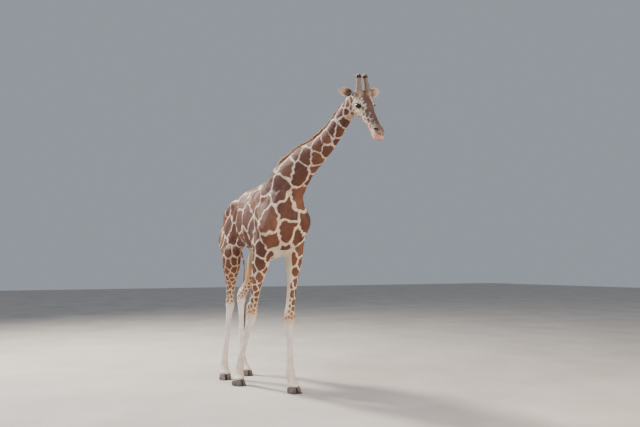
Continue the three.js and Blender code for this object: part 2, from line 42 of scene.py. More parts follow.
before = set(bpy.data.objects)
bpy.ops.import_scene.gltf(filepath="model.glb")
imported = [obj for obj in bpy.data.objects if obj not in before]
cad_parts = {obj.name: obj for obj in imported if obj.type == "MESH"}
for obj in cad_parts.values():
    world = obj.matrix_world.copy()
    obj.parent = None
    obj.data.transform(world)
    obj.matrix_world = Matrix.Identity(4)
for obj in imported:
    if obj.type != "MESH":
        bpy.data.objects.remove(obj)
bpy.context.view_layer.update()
rng = np.random.default_rng(SEED)

# %% [markdown]
# ## Finding places on the animal
#
# The solids were modelled with the hooves at zero and then moved along the floor so that the
# origin lies under the middle of their box. The left eye tells how far: its place on the head is
# known, so the difference is the shift. After that, landmarks can be given in the animal's own
# measures: x towards the chest, y to its left, z up, in millimetres. The head has axes of its
# own, because it hangs nose down: x along the face, y left, z out of the forehead.

# %% Landmarks
MM = 0.001
SIDES = {"left": 1, "right": -1}
HEAD_AT, HEAD_SCALE = Vector((1699, 493, 3679)), 1.04
HEAD_TURN = Euler((math.radians(8), math.radians(48.7), math.radians(5.6)), "XYZ")
EYE_ON_HEAD, EYE_RADIUS = (208, 88, -72), 30

head_axes = Matrix.Translation(HEAD_AT * MM) @ HEAD_TURN.to_matrix().to_4x4()
head_axes = head_axes @ Matrix.Scale(HEAD_SCALE * MM, 4)
eye_low, eye_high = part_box("eye_left")
shift = head_axes @ Vector(EYE_ON_HEAD) - (eye_low + eye_high) / 2
head_axes = Matrix.Translation(-shift) @ head_axes


def place(x, y, z):
    """A point in the animal's own millimetres, as a point of the scene."""
    return Vector((x, y, z)) * MM - shift


def on_head(spot, s=1):
    """A spot on the left of the head as a point of the scene; with s = -1, its twin on the right."""
    x, y, z = spot
    return head_axes @ Vector((x, s * y, z))


FORE = {
    "left": dict(shoulder=(625, 222, 2166), elbow=(455, 246, 1761), knee=(436, 184, 920),
                 fetlock=(452, 192, 225), hoof=(590, 190, 0), turn=0),
    "right": dict(shoulder=(552, -158, 2066), elbow=(345, -178, 1671), knee=(28, -175, 985),
                  fetlock=(-338, -196, 262), hoof=(-240, -234, 0), turn=16),
}
HIND = {
    "left": dict(hip=(-690, 160, 2140), stifle=(-640, 210, 1680), hock=(-1160, 138, 1115),
                 fetlock=(-1126, 146, 238), hoof=(-962, 162, 0), turn=4),
    "right": dict(hip=(-690, -160, 2140), stifle=(-530, -255, 1700), hock=(-815, -165, 1070),
                  fetlock=(-885, -215, 240), hoof=(-775, -238, 0), turn=-10),
}
NECK = [(451, 55, 2482), (581, 86, 2665), (827, 195, 2906), (991, 265, 2999), (1140, 326, 3101),
        (1274, 374, 3218), (1391, 415, 3348), (1507, 454, 3473), (1600, 475, 3570)]
HEAD_MIDDLE = 474
print("shift", [round(v, 4) for v in shift])

# %% [markdown]
# ## The camera
#
# A standing person looks up a little at a giraffe that towers over them. The camera is at eye
# height, 1.6 m, some nine metres off, to the front right of the animal.

# %% Camera
LENS, SENSOR_WIDTH, CAMERA_AT = 37.1, 36, Vector((8.2346, -3.5123, 1.6))
CAMERA_WAY, CAMERA_TILT = Vector((-0.8829, 0.4695, 0)), math.radians(4.55)

camera_data = bpy.data.cameras.new("eye_level_camera")
camera_data.sensor_width = SENSOR_WIDTH
camera_data.lens = LENS
camera = bpy.data.objects.new("eye_level_camera", camera_data)
bpy.context.scene.collection.objects.link(camera)
camera.location = CAMERA_AT - Vector((shift.x, shift.y, 0))
gaze = CAMERA_WAY * math.cos(CAMERA_TILT) + Vector((0, 0, math.sin(CAMERA_TILT)))
camera.rotation_euler = gaze.to_track_quat("-Z", "Y").to_euler()
bpy.context.scene.camera = camera
print("camera", [round(v, 2) for v in camera.location])

# %% [markdown]
# ## Small tools for meshes
#
# Sculpting in code means reading all the points of a mesh at once, moving them as one array and
# writing them back. These helpers do the reading and writing, make pieces and smooth them, so that
# each later cell can say only what it does to the form. Random draws use the order of faces, so
# the order must be the same in each run, and the horns' points are rounded to a tenth of a micron.

# %% Mesh helpers
PULL, SLANT = 0.5, Vector((1, 1.61803, 2.71828))


def new_piece(name, mesh):
    piece = bpy.data.objects.new(name, mesh)
    bpy.context.scene.collection.objects.link(piece)
    return piece


def finish_piece(name, mesh, material, slot, *replaced):
    """A piece on the fixed body with its material, hiding the solids it stands for; slot is not used."""
    mesh.materials.append(material)
    piece = new_piece(name, mesh)
    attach(piece, "root")
    if replaced:
        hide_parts(*replaced)
    return piece


def mesh_from(form, name):
    """The mesh of a form that is done, which is then freed."""
    mesh = bpy.data.meshes.new(name)
    form.to_mesh(mesh)
    form.free()
    return mesh


def in_order(form):
    """Sorts edges and faces by where they lie, because a merge leaves them in a new order each run."""
    for parts in (form.edges, form.faces):
        parts.sort(key=lambda part: sum((v.co for v in part.verts), Vector()).dot(SLANT) / len(part.verts))


def remeshed(form, grain):
    """One closed skin of even small squares over everything in a form."""
    piece = new_piece("clay", mesh_from(form, "clay"))
    remesh = piece.modifiers.new("clay", "REMESH")
    remesh.mode = "VOXEL"
    remesh.voxel_size = grain
    depsgraph = bpy.context.evaluated_depsgraph_get()
    covered = bpy.data.meshes.new_from_object(piece.evaluated_get(depsgraph))
    bpy.data.objects.remove(piece)
    return covered


def field_of(rows, name, width, kind=np.float32):
    """One field of all the rows of a mesh, as an array with a row to each."""
    flat = np.empty(len(rows) * width, kind)
    rows.foreach_get(name, flat)
    return flat.reshape(-1, width)


def points_of(mesh):
    return field_of(mesh.vertices, "co", 3).astype(np.float64)


def normals_of(mesh):
    return field_of(mesh.vertex_normals, "vector", 3).astype(np.float64)


def edge_pairs(mesh):
    return field_of(mesh.edges, "vertices", 2, np.int32)


def set_points(mesh, points):
    mesh.vertices.foreach_set("co", points.astype(np.float32).ravel())
    mesh.update()


def store(mesh, **layers):
    """Stores numbers, roots or colours at the points of a mesh, for the materials to read."""
    for name, values in layers.items():
        if values.ndim == 1:
            kind, field = "FLOAT", "value"
        elif name == "root":
            kind, field = "FLOAT_VECTOR", "vector"
        else:
            kind, field = "FLOAT_COLOR", "color"
            values = np.c_[values, np.ones(len(values))]
        layer = mesh.attributes.new(name, kind, "POINT")
        layer.data.foreach_set(field, values.astype(np.float32).ravel())


def tree_of(mesh):
    """A mesh as a tree that finds its nearest point fast."""
    faces = [tuple(face.vertices) for face in mesh.polygons]
    return BVHTree.FromPolygons([tuple(p) for p in points_of(mesh)], faces)


def in_axes(points, axes):
    """The points as seen from other axes."""
    return (np.c_[points, np.ones(len(points))] @ np.array(axes.inverted()).T)[:, :3]


def unit(vectors):
    return vectors / np.maximum(np.linalg.norm(vectors, axis=1), 1e-9)[:, None]


def average_round(values, pairs, counts):
    """The mean of each point's neighbours, for an array with one row to a point."""
    total = np.empty_like(values)
    for axis in range(values.shape[1]):
        column = values[:, axis]
        total[:, axis] = np.bincount(pairs[:, 0], column[pairs[:, 1]], len(values))
        total[:, axis] += np.bincount(pairs[:, 1], column[pairs[:, 0]], len(values))
    return total / counts[:, None]


def smoothed(values, pairs, rounds, push):
    """Rounds of smoothing. Each pull to the mean is followed by a push back, so thin legs stay thick."""
    counts = np.maximum(np.bincount(pairs.ravel(), minlength=len(values)), 1)
    for _ in range(rounds):
        for step in (PULL, -push):
            values = values + (average_round(values, pairs, counts) - values) * step
    return values


def smooth_step(values, low, high):
    t = np.clip((values - low) / (high - low), 0, 1)
    return t * t * (3 - 2 * t)


def reached_along(line):
    """How far along a broken line each of its points lies, from 0 to 1."""
    steps = np.linalg.norm(np.diff(line, axis=0), axis=1)
    return np.concatenate([[0], np.cumsum(steps)]) / max(steps.sum(), 1e-9)


def near_line(points, line):
    """Distance of each point from a broken line, and how far along it (0 to 1) the nearest place is."""
    line = np.array([tuple(p) for p in line])
    reached = reached_along(line)
    best = np.full(len(points), np.inf)
    share = np.zeros(len(points))
    for start, end, low, high in zip(line[:-1], line[1:], reached[:-1], reached[1:]):
        span = end - start
        t = np.clip(((points - start) @ span) / max(span @ span, 1e-12), 0, 1)
        gap = np.linalg.norm(points - start - t[:, None] * span, axis=1)
        closer = gap < best
        best[closer] = gap[closer]
        share[closer] = (low + (high - low) * t)[closer]
    return best, share


print("helpers ready")

# %% [markdown]
# ## Clay over the solids
#
# The solids of the flesh meet at thin flat cuts, and their faces are large. A voxel remesh is
# like pressing clay over them: it closes the cuts and gives one even skin of small squares. The
# head needs finer clay than the trunk, so the body and the head are remeshed apart, cut at the
# top of the neck and sewn together with a bridge of faces.

# %% Remesh the body and the head
FLESH = ["trunk", "neck", "head", "tail", "ear_left", "ear_right"]
FLESH += [f"{leg}_{side}" for leg in ("foreleg", "hindleg") for side in SIDES]
BODY_GRAIN, HEAD_GRAIN = 15.4 * MM, 5.4 * MM
EAR_AT, EAR_LENGTH, EAR_WIDTH, EAR_THICK = (32, 66, -44), 196, 146, 11
EAR_WAY = {"left": (0.0, 1, 0.3), "right": (-0.34, -1, 0.02)}
EAR_OUTLINE = [0, 0.15, 0.4, 0.62, 0.82, 0.94, 1], [0.5, 0.8, 1, 0.88, 0.54, 0.26, 0.05]
EAR_ROLL = [0, 0.3, 0.6, 1], [150, 98, 62, 34]


def ear_axes(side):
    """Axes of an ear: x across the leaf, y towards its tip, z out of its hollow."""
    s = SIDES[side]
    out = Vector(EAR_WAY[side]).normalized()
    front = Vector((0.8, s * 0.1, 0.6))
    front = (front - out * out.dot(front)).normalized()
    turn = Matrix((out.cross(front), out, front)).transposed().to_4x4()
    return head_axes @ Matrix.Translation((EAR_AT[0], s * EAR_AT[1], EAR_AT[2])) @ turn


def add_ear(form, side):
    """A leaf rolled into a funnel at its root and opening towards the tip."""
    leaf = bmesh.new()
    bmesh.ops.create_grid(leaf, x_segments=12, y_segments=18, size=1)
    for vert in leaf.verts:
        t = (vert.co.y + 1) / 2
        half = EAR_WIDTH / 2 * np.interp(t, *EAR_OUTLINE)
        roll = math.radians(np.interp(t, *EAR_ROLL))
        angle = vert.co.x * roll
        vert.co = (half / roll * math.sin(angle), t * EAR_LENGTH, half / roll * (1 - math.cos(angle)) - 6)
    bmesh.ops.solidify(leaf, geom=leaf.faces[:], thickness=EAR_THICK)
    bmesh.ops.recalc_face_normals(leaf, faces=leaf.faces)
    bmesh.ops.transform(leaf, matrix=ear_axes(side), verts=leaf.verts)
    part = mesh_from(leaf, "leaf")
    form.from_mesh(part)
    bpy.data.meshes.remove(part)


def clay(nodes, grain):
    """One closed skin over copies of these solids. Balls fill the eye sockets, so the lids start whole."""
    form = bmesh.new()
    for node in nodes:
        if node.startswith("ear"):
            add_ear(form, node.split("_")[1])
        else:
            form.from_mesh(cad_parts[node].data)
    bmesh.ops.remove_doubles(form, verts=form.verts, dist=1e-5)
    for s in SIDES.values():
        ball = Matrix.Translation(on_head(EYE_ON_HEAD, s))
        radius = (EYE_RADIUS + 1.2) * MM
        bmesh.ops.create_uvsphere(form, u_segments=24, v_segments=14, radius=radius, matrix=ball)
    return remeshed(form, grain)


body_clay = clay(FLESH, BODY_GRAIN)
head_clay = clay(["head", "neck", "ear_left", "ear_right"], HEAD_GRAIN)
print("body", len(body_clay.polygons), "head", len(head_clay.polygons))

# %% Smooth the clay
ANKLE_LOW, ANKLE_HIGH = 0.10, 0.24


def soften(mesh, rounds):
    set_points(mesh, smoothed(points_of(mesh), edge_pairs(mesh), rounds, 0.52))


def near_ear(points):
    """Which points belong to an ear: past its root and within its width."""
    near = np.zeros(len(points), bool)
    for side in SIDES:
        across, up, out = in_axes(points, ear_axes(side)).T
        near |= (up > 45) & (up < 240) & (np.hypot(across, out - 25) < 100)
    return near


soften(body_clay, 8)
feet = points_of(body_clay)
soften(body_clay, 42)
body_points = points_of(body_clay)
ankle = smooth_step(body_points[:, 2], ANKLE_LOW, ANKLE_HIGH)[:, None]
set_points(body_clay, feet * (1 - ankle) + body_points * ankle)
soften(head_clay, 18)
head_points = points_of(head_clay)
ears = near_ear(head_points)
head_points[ears] = smoothed(head_points, edge_pairs(head_clay), 60, 0.5)[ears]
set_points(head_clay, head_points)
print("softened, points of the ears", int(ears.sum()))

# %% Sew the head to the body
SEAM_AT, SEAM_NORMAL, SEAM_GAP = place(1478, 436, 3438), Vector((0.75, 0.35, 0.55)).normalized(), 6 * MM
SEAM_REACH, SEAM_ROUNDS = 0.03, 12


def half_clay(mesh, way):
    """The part of a clay that lies beyond the seam, as a form."""
    form = bmesh.new()
    form.from_mesh(mesh)
    everything, cut_at = form.verts[:] + form.edges[:] + form.faces[:], SEAM_AT + way * SEAM_GAP
    bmesh.ops.bisect_plane(form, geom=everything, plane_co=cut_at, plane_no=way, clear_inner=True)
    return form


skin_form = half_clay(body_clay, -SEAM_NORMAL)
head_part = mesh_from(half_clay(head_clay, SEAM_NORMAL), "head_part")
skin_form.from_mesh(head_part)
open_edges = [edge for edge in skin_form.edges if edge.is_boundary]
bmesh.ops.bridge_loops(skin_form, edges=open_edges)
bmesh.ops.recalc_face_normals(skin_form, faces=skin_form.faces)
ring = [v for v in skin_form.verts if abs((v.co - SEAM_AT).dot(SEAM_NORMAL)) < SEAM_REACH]
axes = dict(use_axis_x=True, use_axis_y=True, use_axis_z=True)
for _ in range(SEAM_ROUNDS):
    bmesh.ops.smooth_vert(skin_form, verts=ring, factor=0.5, **axes)
skin_mesh = mesh_from(skin_form, "skin")
for used in (body_clay, head_clay, head_part):
    bpy.data.meshes.remove(used)
skin = new_piece("skin", skin_mesh)
print("open edges sewn", len(open_edges), "skin faces", len(skin_mesh.polygons))

# %% [markdown]
# ## Feet
#
# Above each hoof the leg widens and its skin ends in a soft rim that hangs a little over the horn.
# The lowest ring of the skin is moved and widened to the hoof's own size, and its underside is
# lifted to just under the sloping top of the claws.

# %% Widen the skin over the hooves
RIM_OUT, RIM_DEPTH, RIM_REACH = 6 * MM, 12 * MM, 66 * MM
FOOT_SIZE, RING_LOW, RING_HIGH = 0.2, 0.05, 0.095
FEET = [f"{end}_{side}" for end in ("fore", "hind") for side in SIDES]


def fit_foot(points, claws):
    """Widens and lifts the end of a leg, so that its rim hangs over the tops of the claws."""
    meshes = [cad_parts[claw].data for claw in claws]
    tops = [(mesh, face) for mesh in meshes for face in mesh.polygons if face.normal.z > 0.6]
    rim = np.array([tuple(mesh.vertices[i].co) for mesh, face in tops for i in face.vertices])
    total = sum(face.area for mesh, face in tops)
    slope = sum((face.normal * face.area for mesh, face in tops), Vector()).normalized()
    middle = sum((face.center * face.area for mesh, face in tops), Vector()) / total
    slope, middle = np.array(tuple(slope)), np.array(tuple(middle))

    def top_at(places):
        """The height of the sloping tops of the claws."""
        return middle[2] - ((places[:, :2] - middle[:2]) @ slope[:2]) / slope[2]

    low, high = rim.min(axis=0), rim.max(axis=0)
    centre, half = (low + high)[:2] / 2, (high - low)[:2] / 2 + RIM_OUT
    near = (np.abs(points[:, :2] - centre).max(axis=1) < FOOT_SIZE) & (points[:, 2] < FOOT_SIZE)
    ring = points[near & (points[:, 2] > RING_LOW) & (points[:, 2] < RING_HIGH)]
    ring_centre = (ring.min(axis=0) + ring.max(axis=0))[:2] / 2
    ring_half = (ring.max(axis=0) - ring.min(axis=0))[:2] / 2
    widened = centre + (points[:, :2] - ring_centre) * half * 0.97 / ring_half
    share = ((1 - smooth_step(points[:, 2] - top_at(points), 0, RIM_REACH)) * near)[:, None]
    moved = points.copy()
    moved[:, :2] = points[:, :2] * (1 - share) + widened * share
    lifted = np.maximum(moved[:, 2], top_at(moved) - RIM_DEPTH)
    moved[:, 2] = np.where(near, lifted, moved[:, 2])
    return moved


points = points_of(skin_mesh)
for foot in FEET:
    points = fit_foot(points, [f"hoof_{foot}_outer", f"hoof_{foot}_inner"])
softer = smoothed(points, edge_pairs(skin_mesh), 6, 0.48)
points = np.where((points[:, 2] < FOOT_SIZE)[:, None], softer, points)
set_points(skin_mesh, points)
print("feet widened, lowest skin", round(float(points[:, 2].min()), 3))

# %% [markdown]
# ## Muscles and folds
#
# The clay is a smooth body. A real one shows the shoulder blade, the groove behind it, the folds
# of the flank and the tendons of the legs. Each is a stroke, as with a sculptor's thumb: a line on
# the skin, a width, and a height that is negative for a groove. The line is first dropped onto the
# skin, so its points need only be near it.

# %% Strokes on the body


def dropped(line, tree):
    return [tree.find_nearest(Vector(p))[0] for p in line]


def stroke(points, normals, tree, line, width, height):
    gap = near_line(points, dropped(line, tree))[0]
    bump = np.clip(1 - (gap / (width * MM)) ** 2, 0, 1) ** 2
    return points + normals * (bump * height * MM)[:, None]


def body_strokes():
    """Yields (line, width, height) for the folds and muscles of both sides."""
    for side, s in SIDES.items():
        fore, hind = FORE[side], HIND[side]
        blade = (150 if s > 0 else 40, s * 160 + 15, 2610)
        (ex, ey, ez), (kx, ky, kz), (fx, fy, fz) = fore["elbow"], fore["knee"], fore["fetlock"]
        (sx, sy, sz), (hx, hy, hz), (gx, gy, gz) = hind["stifle"], hind["hock"], hind["fetlock"]
        point = fore["shoulder"]
        yield [blade, point], 60, 10
        yield [(blade[0] - 130, s * 260, 2480), (ex - 190, ey + s * 40, ez + 250)], 62, -13
        yield [(ex - 60, ey + s * 90, ez + 330), (ex - 20, ey + s * 90, ez + 120)], 95, 12
        yield [(ex - 170, ey, ez + 150), (ex - 100, ey + s * 40, ez - 20)], 50, -12
        yield [(520, s * 190 + 70, 2660), (640, s * 150 + 50, 2330)], 60, -12
        yield [(point[0] + 90, point[1] - s * 40, 2150), (ex + 110, ey - s * 30, ez + 60)], 50, -9
        yield [(ex + 60, ey + s * 60, ez - 60), (kx + 50, ky + s * 40, kz + 250)], 30, -7
        yield [(ex - 40, ey + s * 90, ez - 80), (kx - 30, ky + s * 60, kz + 230)], 26, -6
        yield [(fx - 22, fy + s * 40, fz + 120), (kx - 30, ky + s * 40, kz - 140)], 15, -5
        yield [(gx - 24, gy + s * 40, gz + 110), (hx - 34, hy + s * 40, hz - 130)], 15, -5
        yield [(kx + 80, ky - s * 24, kz + 40), (kx + 80, ky + s * 30, kz + 40)], 26, -3
        yield [(kx + 80, ky - s * 24, kz - 40), (kx + 80, ky + s * 30, kz - 40)], 26, -3
        yield [(-560, s * 230, 2470), (-500, s * 230, 2440)], 75, 16
        yield [(-620, s * 260, 2400), (-760, s * 260, 2080), (sx - 60, sy + s * 90, sz + 140)], 62, -11
        yield [(-330, s * 300, 2330), (-420, s * 300, 2080), (-340, s * 230, 1930)], 70, -15
        yield [(sx + 120, sy - s * 20, sz + 260), (-300, s * 190, 1890)], 46, 13
        yield [(sx - 30, sy + s * 120, sz - 120), (hx + 120, hy + s * 70, hz + 330)], 36, -8
        yield [(hx - 40, hy + s * 50, hz + 260), (hx - 42, hy + s * 50, hz + 90)], 24, -9
        for rib in range(6):
            top, low = 190 - rib * 92, 150 - rib * 104
            yield [(top, s * 300, 2420), (low, s * 320, 2120), (low + 70, s * 250, 1860)], 34, 3.2
        yield [(x + 60, y - 20 + s * (46 + r * 0.35), z - r * 0.55)
               for (x, y, z), r in zip(NECK[1:-1], NECK_RADII)], 34, -7
    yield [(740, 70, 2480), (760, 45, 2250), (640, 40, 1960)], 46, -12


BODY_COAT, LEG_COAT, HEAD_COAT = 3.5 * MM, 1.8 * MM, 1.2 * MM
NECK_RADII = 265, 216, 177, 148, 131, 122, 116
points = points_of(skin_mesh)
inset = LEG_COAT + (BODY_COAT - LEG_COAT) * smooth_step(points[:, 2], 1.1, 1.7)
past_seam = (points - np.array(SEAM_AT)) @ np.array(SEAM_NORMAL)
inset += (HEAD_COAT - inset) * smooth_step(past_seam, -0.1, 0.1)
inset[near_ear(points)] = 0
points -= normals_of(skin_mesh) * inset[:, None]
set_points(skin_mesh, points)
tree, normals = tree_of(skin_mesh), normals_of(skin_mesh)
strokes = list(body_strokes())
for line, width, height in strokes:
    points = stroke(points, normals, tree, [place(*spot) for spot in line], width, height)
set_points(skin_mesh, points)
print("strokes", len(strokes))

# %% [markdown]
# ## The face
#
# The lids, the nostrils and the lips need finer faces than the rest, so the squares near them are
# split in four first. The eye opening is an almond, given by a distance that is negative inside
# it: inside, the skin dips behind the eyeball; at its rim the skin stands three millimetres off
# the ball, as a lid does; further out it runs back into the cheek, past the creases of the lids.

# %% Split the faces near the eyes, nostrils and lips
NOSTRIL = [(588, 47, -98), (606, 46, -86), (626, 38, -80)]
LIPS = [(694, 0, -152), (676, 26, -156), (640, 42, -160), (596, 49, -163), (556, 49, -168)]


def mirrored(line, s):
    return [on_head(spot, s) for spot in line]


def near_face_detail(points):
    near = np.zeros(len(points), bool)
    x, y, z = EYE_ON_HEAD
    details = ([(x, y, z), (x, y + 10, z)], 50), (NOSTRIL, 22), (LIPS, 13)
    for s in SIDES.values():
        for line, reach in details:
            near |= near_line(points, mirrored(line, s))[0] < reach * MM
    return near


near = near_face_detail(points_of(skin_mesh))
form = bmesh.new()
form.from_mesh(skin_mesh)
chosen = [e for e in form.edges if near[e.verts[0].index] and near[e.verts[1].index]]
bmesh.ops.subdivide_edges(form, edges=chosen, cuts=1, use_grid_fill=True)
form.to_mesh(skin_mesh)
form.free()
print("skin faces", len(skin_mesh.polygons))
print("skin faces", len(skin_mesh.polygons))

# %% Eyelids
ALMOND = dict(half_length=33, upper=15, lower=14.5, tilt=0.38)
SOCKET_RADIUS, LID_RISE = 26.5, 7.0


def almond_gap(along, up):
    """Millimetres from the rim of the eye opening, negative inside it, and the height over its long axis."""
    length = along * math.cos(ALMOND["tilt"]) + up * math.sin(ALMOND["tilt"])
    level = up * math.cos(ALMOND["tilt"]) - along * math.sin(ALMOND["tilt"])
    height = np.where(level > 0, ALMOND["upper"], ALMOND["lower"])
    return (np.hypot(length / ALMOND["half_length"], level / height) - 1) * height, level


def open_lids(points, s):
    """The points pulled to the shape of the lids, their gap to the opening, and how far they are held."""
    centre = np.array(on_head(EYE_ON_HEAD, s))
    turn = np.array(head_axes.to_3x3().normalized())
    local = (points - centre) @ turn / MM
    along, out, up = local[:, 0], local[:, 1] * s, local[:, 2]
    gap, level = almond_gap(along, up)
    reach = np.linalg.norm(local, axis=1)
    lid = SOCKET_RADIUS + LID_RISE * smooth_step(gap, -3.0, 0.6)
    creases = ((-2.6, 9.5, 2.6, smooth_step(level, -2, 6)), (-1.6, 8, 2.4, smooth_step(-level, 0, 6)),
               (2.4, 15, 5, smooth_step(level, 0, 8)))
    crease = sum(height * np.exp(-((gap - at) / width) ** 2) * where for height, at, width, where in creases)
    hold = (1 - smooth_step(gap, 4, 18)) * (out > 4) * (reach < 60)
    target = lid * hold + reach * (1 - hold) + crease * (out > 0) * (reach < 70)
    return points + (local / reach[:, None] * (target - reach)[:, None] * MM) @ turn.T, gap, hold


points = points_of(skin_mesh)
lid_gap = np.full(len(points), 99.0)
for s in SIDES.values():
    points, gap, hold = open_lids(points, s)
    lid_gap = np.where(hold > 0, np.minimum(lid_gap, gap), lid_gap)
set_points(skin_mesh, points)
print("lids", int((lid_gap < 2).sum()))

# %% Nostrils, lips and the bones of the face
FACE_STROKES = [
    ([(92, 60, 12), (74, 58, 30)], 84, 20),
    ([(684, 12, -150), (600, 24, -196), (500, 22, -196)], 62, 12),
    ([(640, 40, -120), (560, 44, -140)], 52, 7),
    (NOSTRIL, 14, -17),
    ([(580, 52, -112), (606, 52, -104), (634, 44, -98)], 12, 3.5),
    ([(596, 40, -72), (632, 30, -72)], 12, 3),
    (LIPS, 7, -5),
    ([(680, 18, -170), (620, 36, -176)], 14, 3),
    ([(246, 84, -92), (330, 62, -104), (430, 46, -112)], 20, 4),
    ([(262, 70, -60), (340, 52, -74)], 22, -4),
    ([(120, 84, -110), (150, 80, -190)], 20, -4),
    ([(255, 60, -150), (300, 50, -185)], 24, -5),
    ([(168, 84, -36), (222, 92, -42)], 20, 5),
    ([(150, 78, -62), (164, 96, -76)], 16, -3.5),
]


def face_gap(line):
    """Millimetres of each point from a line of the face, on the nearer side."""
    left, right = (near_line(points, dropped(mirrored(line, s), tree))[0] for s in SIDES.values())
    return np.minimum(left, right) / MM


points, normals, tree = points_of(skin_mesh), normals_of(skin_mesh), tree_of(skin_mesh)
for s in SIDES.values():
    for line, width, height in FACE_STROKES:
        points = stroke(points, normals, tree, mirrored(line, s), width, height)
set_points(skin_mesh, points)
nostril_gap, lip_gap = face_gap(NOSTRIL), face_gap(LIPS)
print("face done")

# %% [markdown]
# ## Where the coat changes
#
# The net of pale lines, the colour of the coat and the length of the hair all depend on the part
# of the body. One function measures every point against the bones: how far up each leg it lies,
# how far along the neck, and where on the head. Later cells turn these measures into sizes and
# colours with smooth steps, so nothing changes along a hard edge.

# %% Measure the places
EAR_EDGE = [0, 0.15, 0.4, 0.7, 0.9, 1], [0.5, 0.7, 0.9, 0.8, 0.5, 0.2]


def measured(points):
    """Each point's place on the animal, in millimetres and in shares along the bones."""
    x, y, z = ((points + np.array(shift)) / MM).T
    hx, hy, hz = in_axes(points, head_axes).T
    found = dict(x=x, y=y, z=z, hx=hx, hy=hy, hz=hz, neck=near_line(points, [place(*p) for p in NECK])[1])
    low = np.interp(hx, [60, 130, 240], [-150, -246, -300])
    found["head"] = smooth_step(hx, -20, 60) * smooth_step(hz - low, -30, 10) * (z > 2900)
    found["ear"] = near_ear(points)
    found["ear_up"], found["ear_rim"] = np.zeros(len(points)), np.ones(len(points))
    for side in SIDES:
        across, up, _ = in_axes(points, ear_axes(side)).T
        mine = found["ear"] & (np.abs(up - 120) < 130) & (np.sign(y - HEAD_MIDDLE) == SIDES[side])
        half = EAR_WIDTH / 2 * np.interp(up / EAR_LENGTH, *EAR_EDGE)
        found["ear_up"][mine] = up[mine]
        found["ear_rim"][mine] = (np.abs(across) / half)[mine]
    best = np.full(len(points), np.inf)
    found["joint_up"], found["leg_share"] = np.empty(len(points)), np.empty(len(points))
    found["hind"], found["inward"] = np.zeros(len(points), bool), np.empty(len(points))
    for legs, hind, upper, knee in ((FORE, False, "elbow", "knee"), (HIND, True, "stifle", "hock")):
        for side in SIDES:
            chain = [legs[side][joint] for joint in ("hoof", "fetlock", knee, upper)]
            gap = near_line(points, [place(*p) for p in chain])[0]
            closer = gap < best
            best[closer] = gap[closer]
            (fy, fz), (ky, low), (uy, high) = (joint[1:] for joint in chain[1:])
            middle = np.interp(z, [fz, low, high, high + 400], [fy, ky, uy, uy])
            found["joint_up"][closer] = (z - low)[closer]
            found["leg_share"][closer] = ((z - low) / (high - low))[closer]
            found["hind"][closer] = hind
            found["inward"][closer] = ((middle - y) * SIDES[side])[closer]
    on_neck = (found["neck"] > 0.3) & (z > 2500)
    found["joint_up"][on_neck] = 2000
    found["leg_share"][on_neck] = 2.5
    return found


def linear(hex_colour):
    """The colour of a hex code as the renderer's linear red, green, blue and alpha."""
    codes = [int(hex_colour[i:i + 2], 16) / 255 for i in (1, 3, 5)]
    return [c / 12.92 if c <= 0.04045 else ((c + 0.055) / 1.055) ** 2.4 for c in codes] + [1.0]


skin_places = measured(points_of(skin_mesh))
skin_places.update(lid_gap=lid_gap, nostril_gap=nostril_gap, lip_gap=lip_gap)
ear_front = np.array(ear_axes("left").to_3x3() @ Vector((0, 0, 1)))
facing = normals_of(skin_mesh) @ ear_front / np.linalg.norm(ear_front)
skin_places["ear_inside"] = skin_places["ear"] * smooth_step(facing, 0, 0.3)
print("points", len(skin_places["x"]))

# %% [markdown]
# ## The net of pale lines
#
# A reticulated coat is close to a Voronoi diagram: each brown patch grows from a point until it
# meets its neighbours, and a pale line stays between them. The points are thrown at random, but
# none may land within a set distance of another. That distance is a quarter of a metre on the
# body, shrinks up the neck and down the legs, and is a few centimetres on the face. Heights are
# counted a little short, which makes the patches taller than wide.

# %% Throw the patch centres
TALLER = np.array([1, 1, 0.76])
THROWS, CLOSEST, SETTLING_ROUNDS, CHUNK = 60000, 0.86, 2, 4000


def patch_spacing(at):
    """Millimetres between patch centres, for each point."""
    spacing = np.interp(at["neck"], [0, 0.3, 0.6, 0.85, 1.0], [205, 182, 150, 116, 92])
    fore = np.interp(at["leg_share"], [-0.15, 0.05, 0.55, 1.0, 1.45, 1.75], [30, 46, 98, 140, 228, 252])
    hind = np.interp(at["leg_share"], [-0.2, 0.05, 0.6, 1.0, 1.5, 1.9], [30, 40, 66, 104, 190, 228])
    leg = np.where(at["hind"], hind, fore)
    spacing = np.where(at["neck"] < 0.25, leg, spacing)
    face = np.interp(at["hx"], [-60, 40, 200, 330, 420, 560], [96, 52, 40, 46, 56, 50])
    return spacing * (1 - at["head"]) + face * at["head"]


def throw_centres(points, spacing):
    order = rng.permutation(len(points))[:THROWS]
    centres, reach = np.empty((0, 3)), np.empty(0)
    for index in order:
        here, wide = points[index], spacing[index] * MM
        gaps = np.linalg.norm(centres - here, axis=1)
        if (gaps < np.minimum(reach, wide) * CLOSEST).any():
            continue
        centres = np.vstack([centres, here])
        reach = np.append(reach, wide)
    return centres


def nearest_few(points, centres, few=7):
    """The squared distance and number of the few nearest centres of each point, nearest first."""
    squares, numbers = [], []
    for start in range(0, len(points), CHUNK):
        some = points[start:start + CHUNK]
        all_squares = (some ** 2).sum(1)[:, None] + (centres ** 2).sum(1) - 2 * some @ centres.T
        chosen = np.argpartition(all_squares, few, axis=1)[:, :few]
        taken = np.take_along_axis(all_squares, chosen, 1)
        order = np.argsort(taken, axis=1)
        squares.append(np.take_along_axis(taken, order, 1))
        numbers.append(np.take_along_axis(chosen, order, 1))
    return np.vstack(squares), np.vstack(numbers)


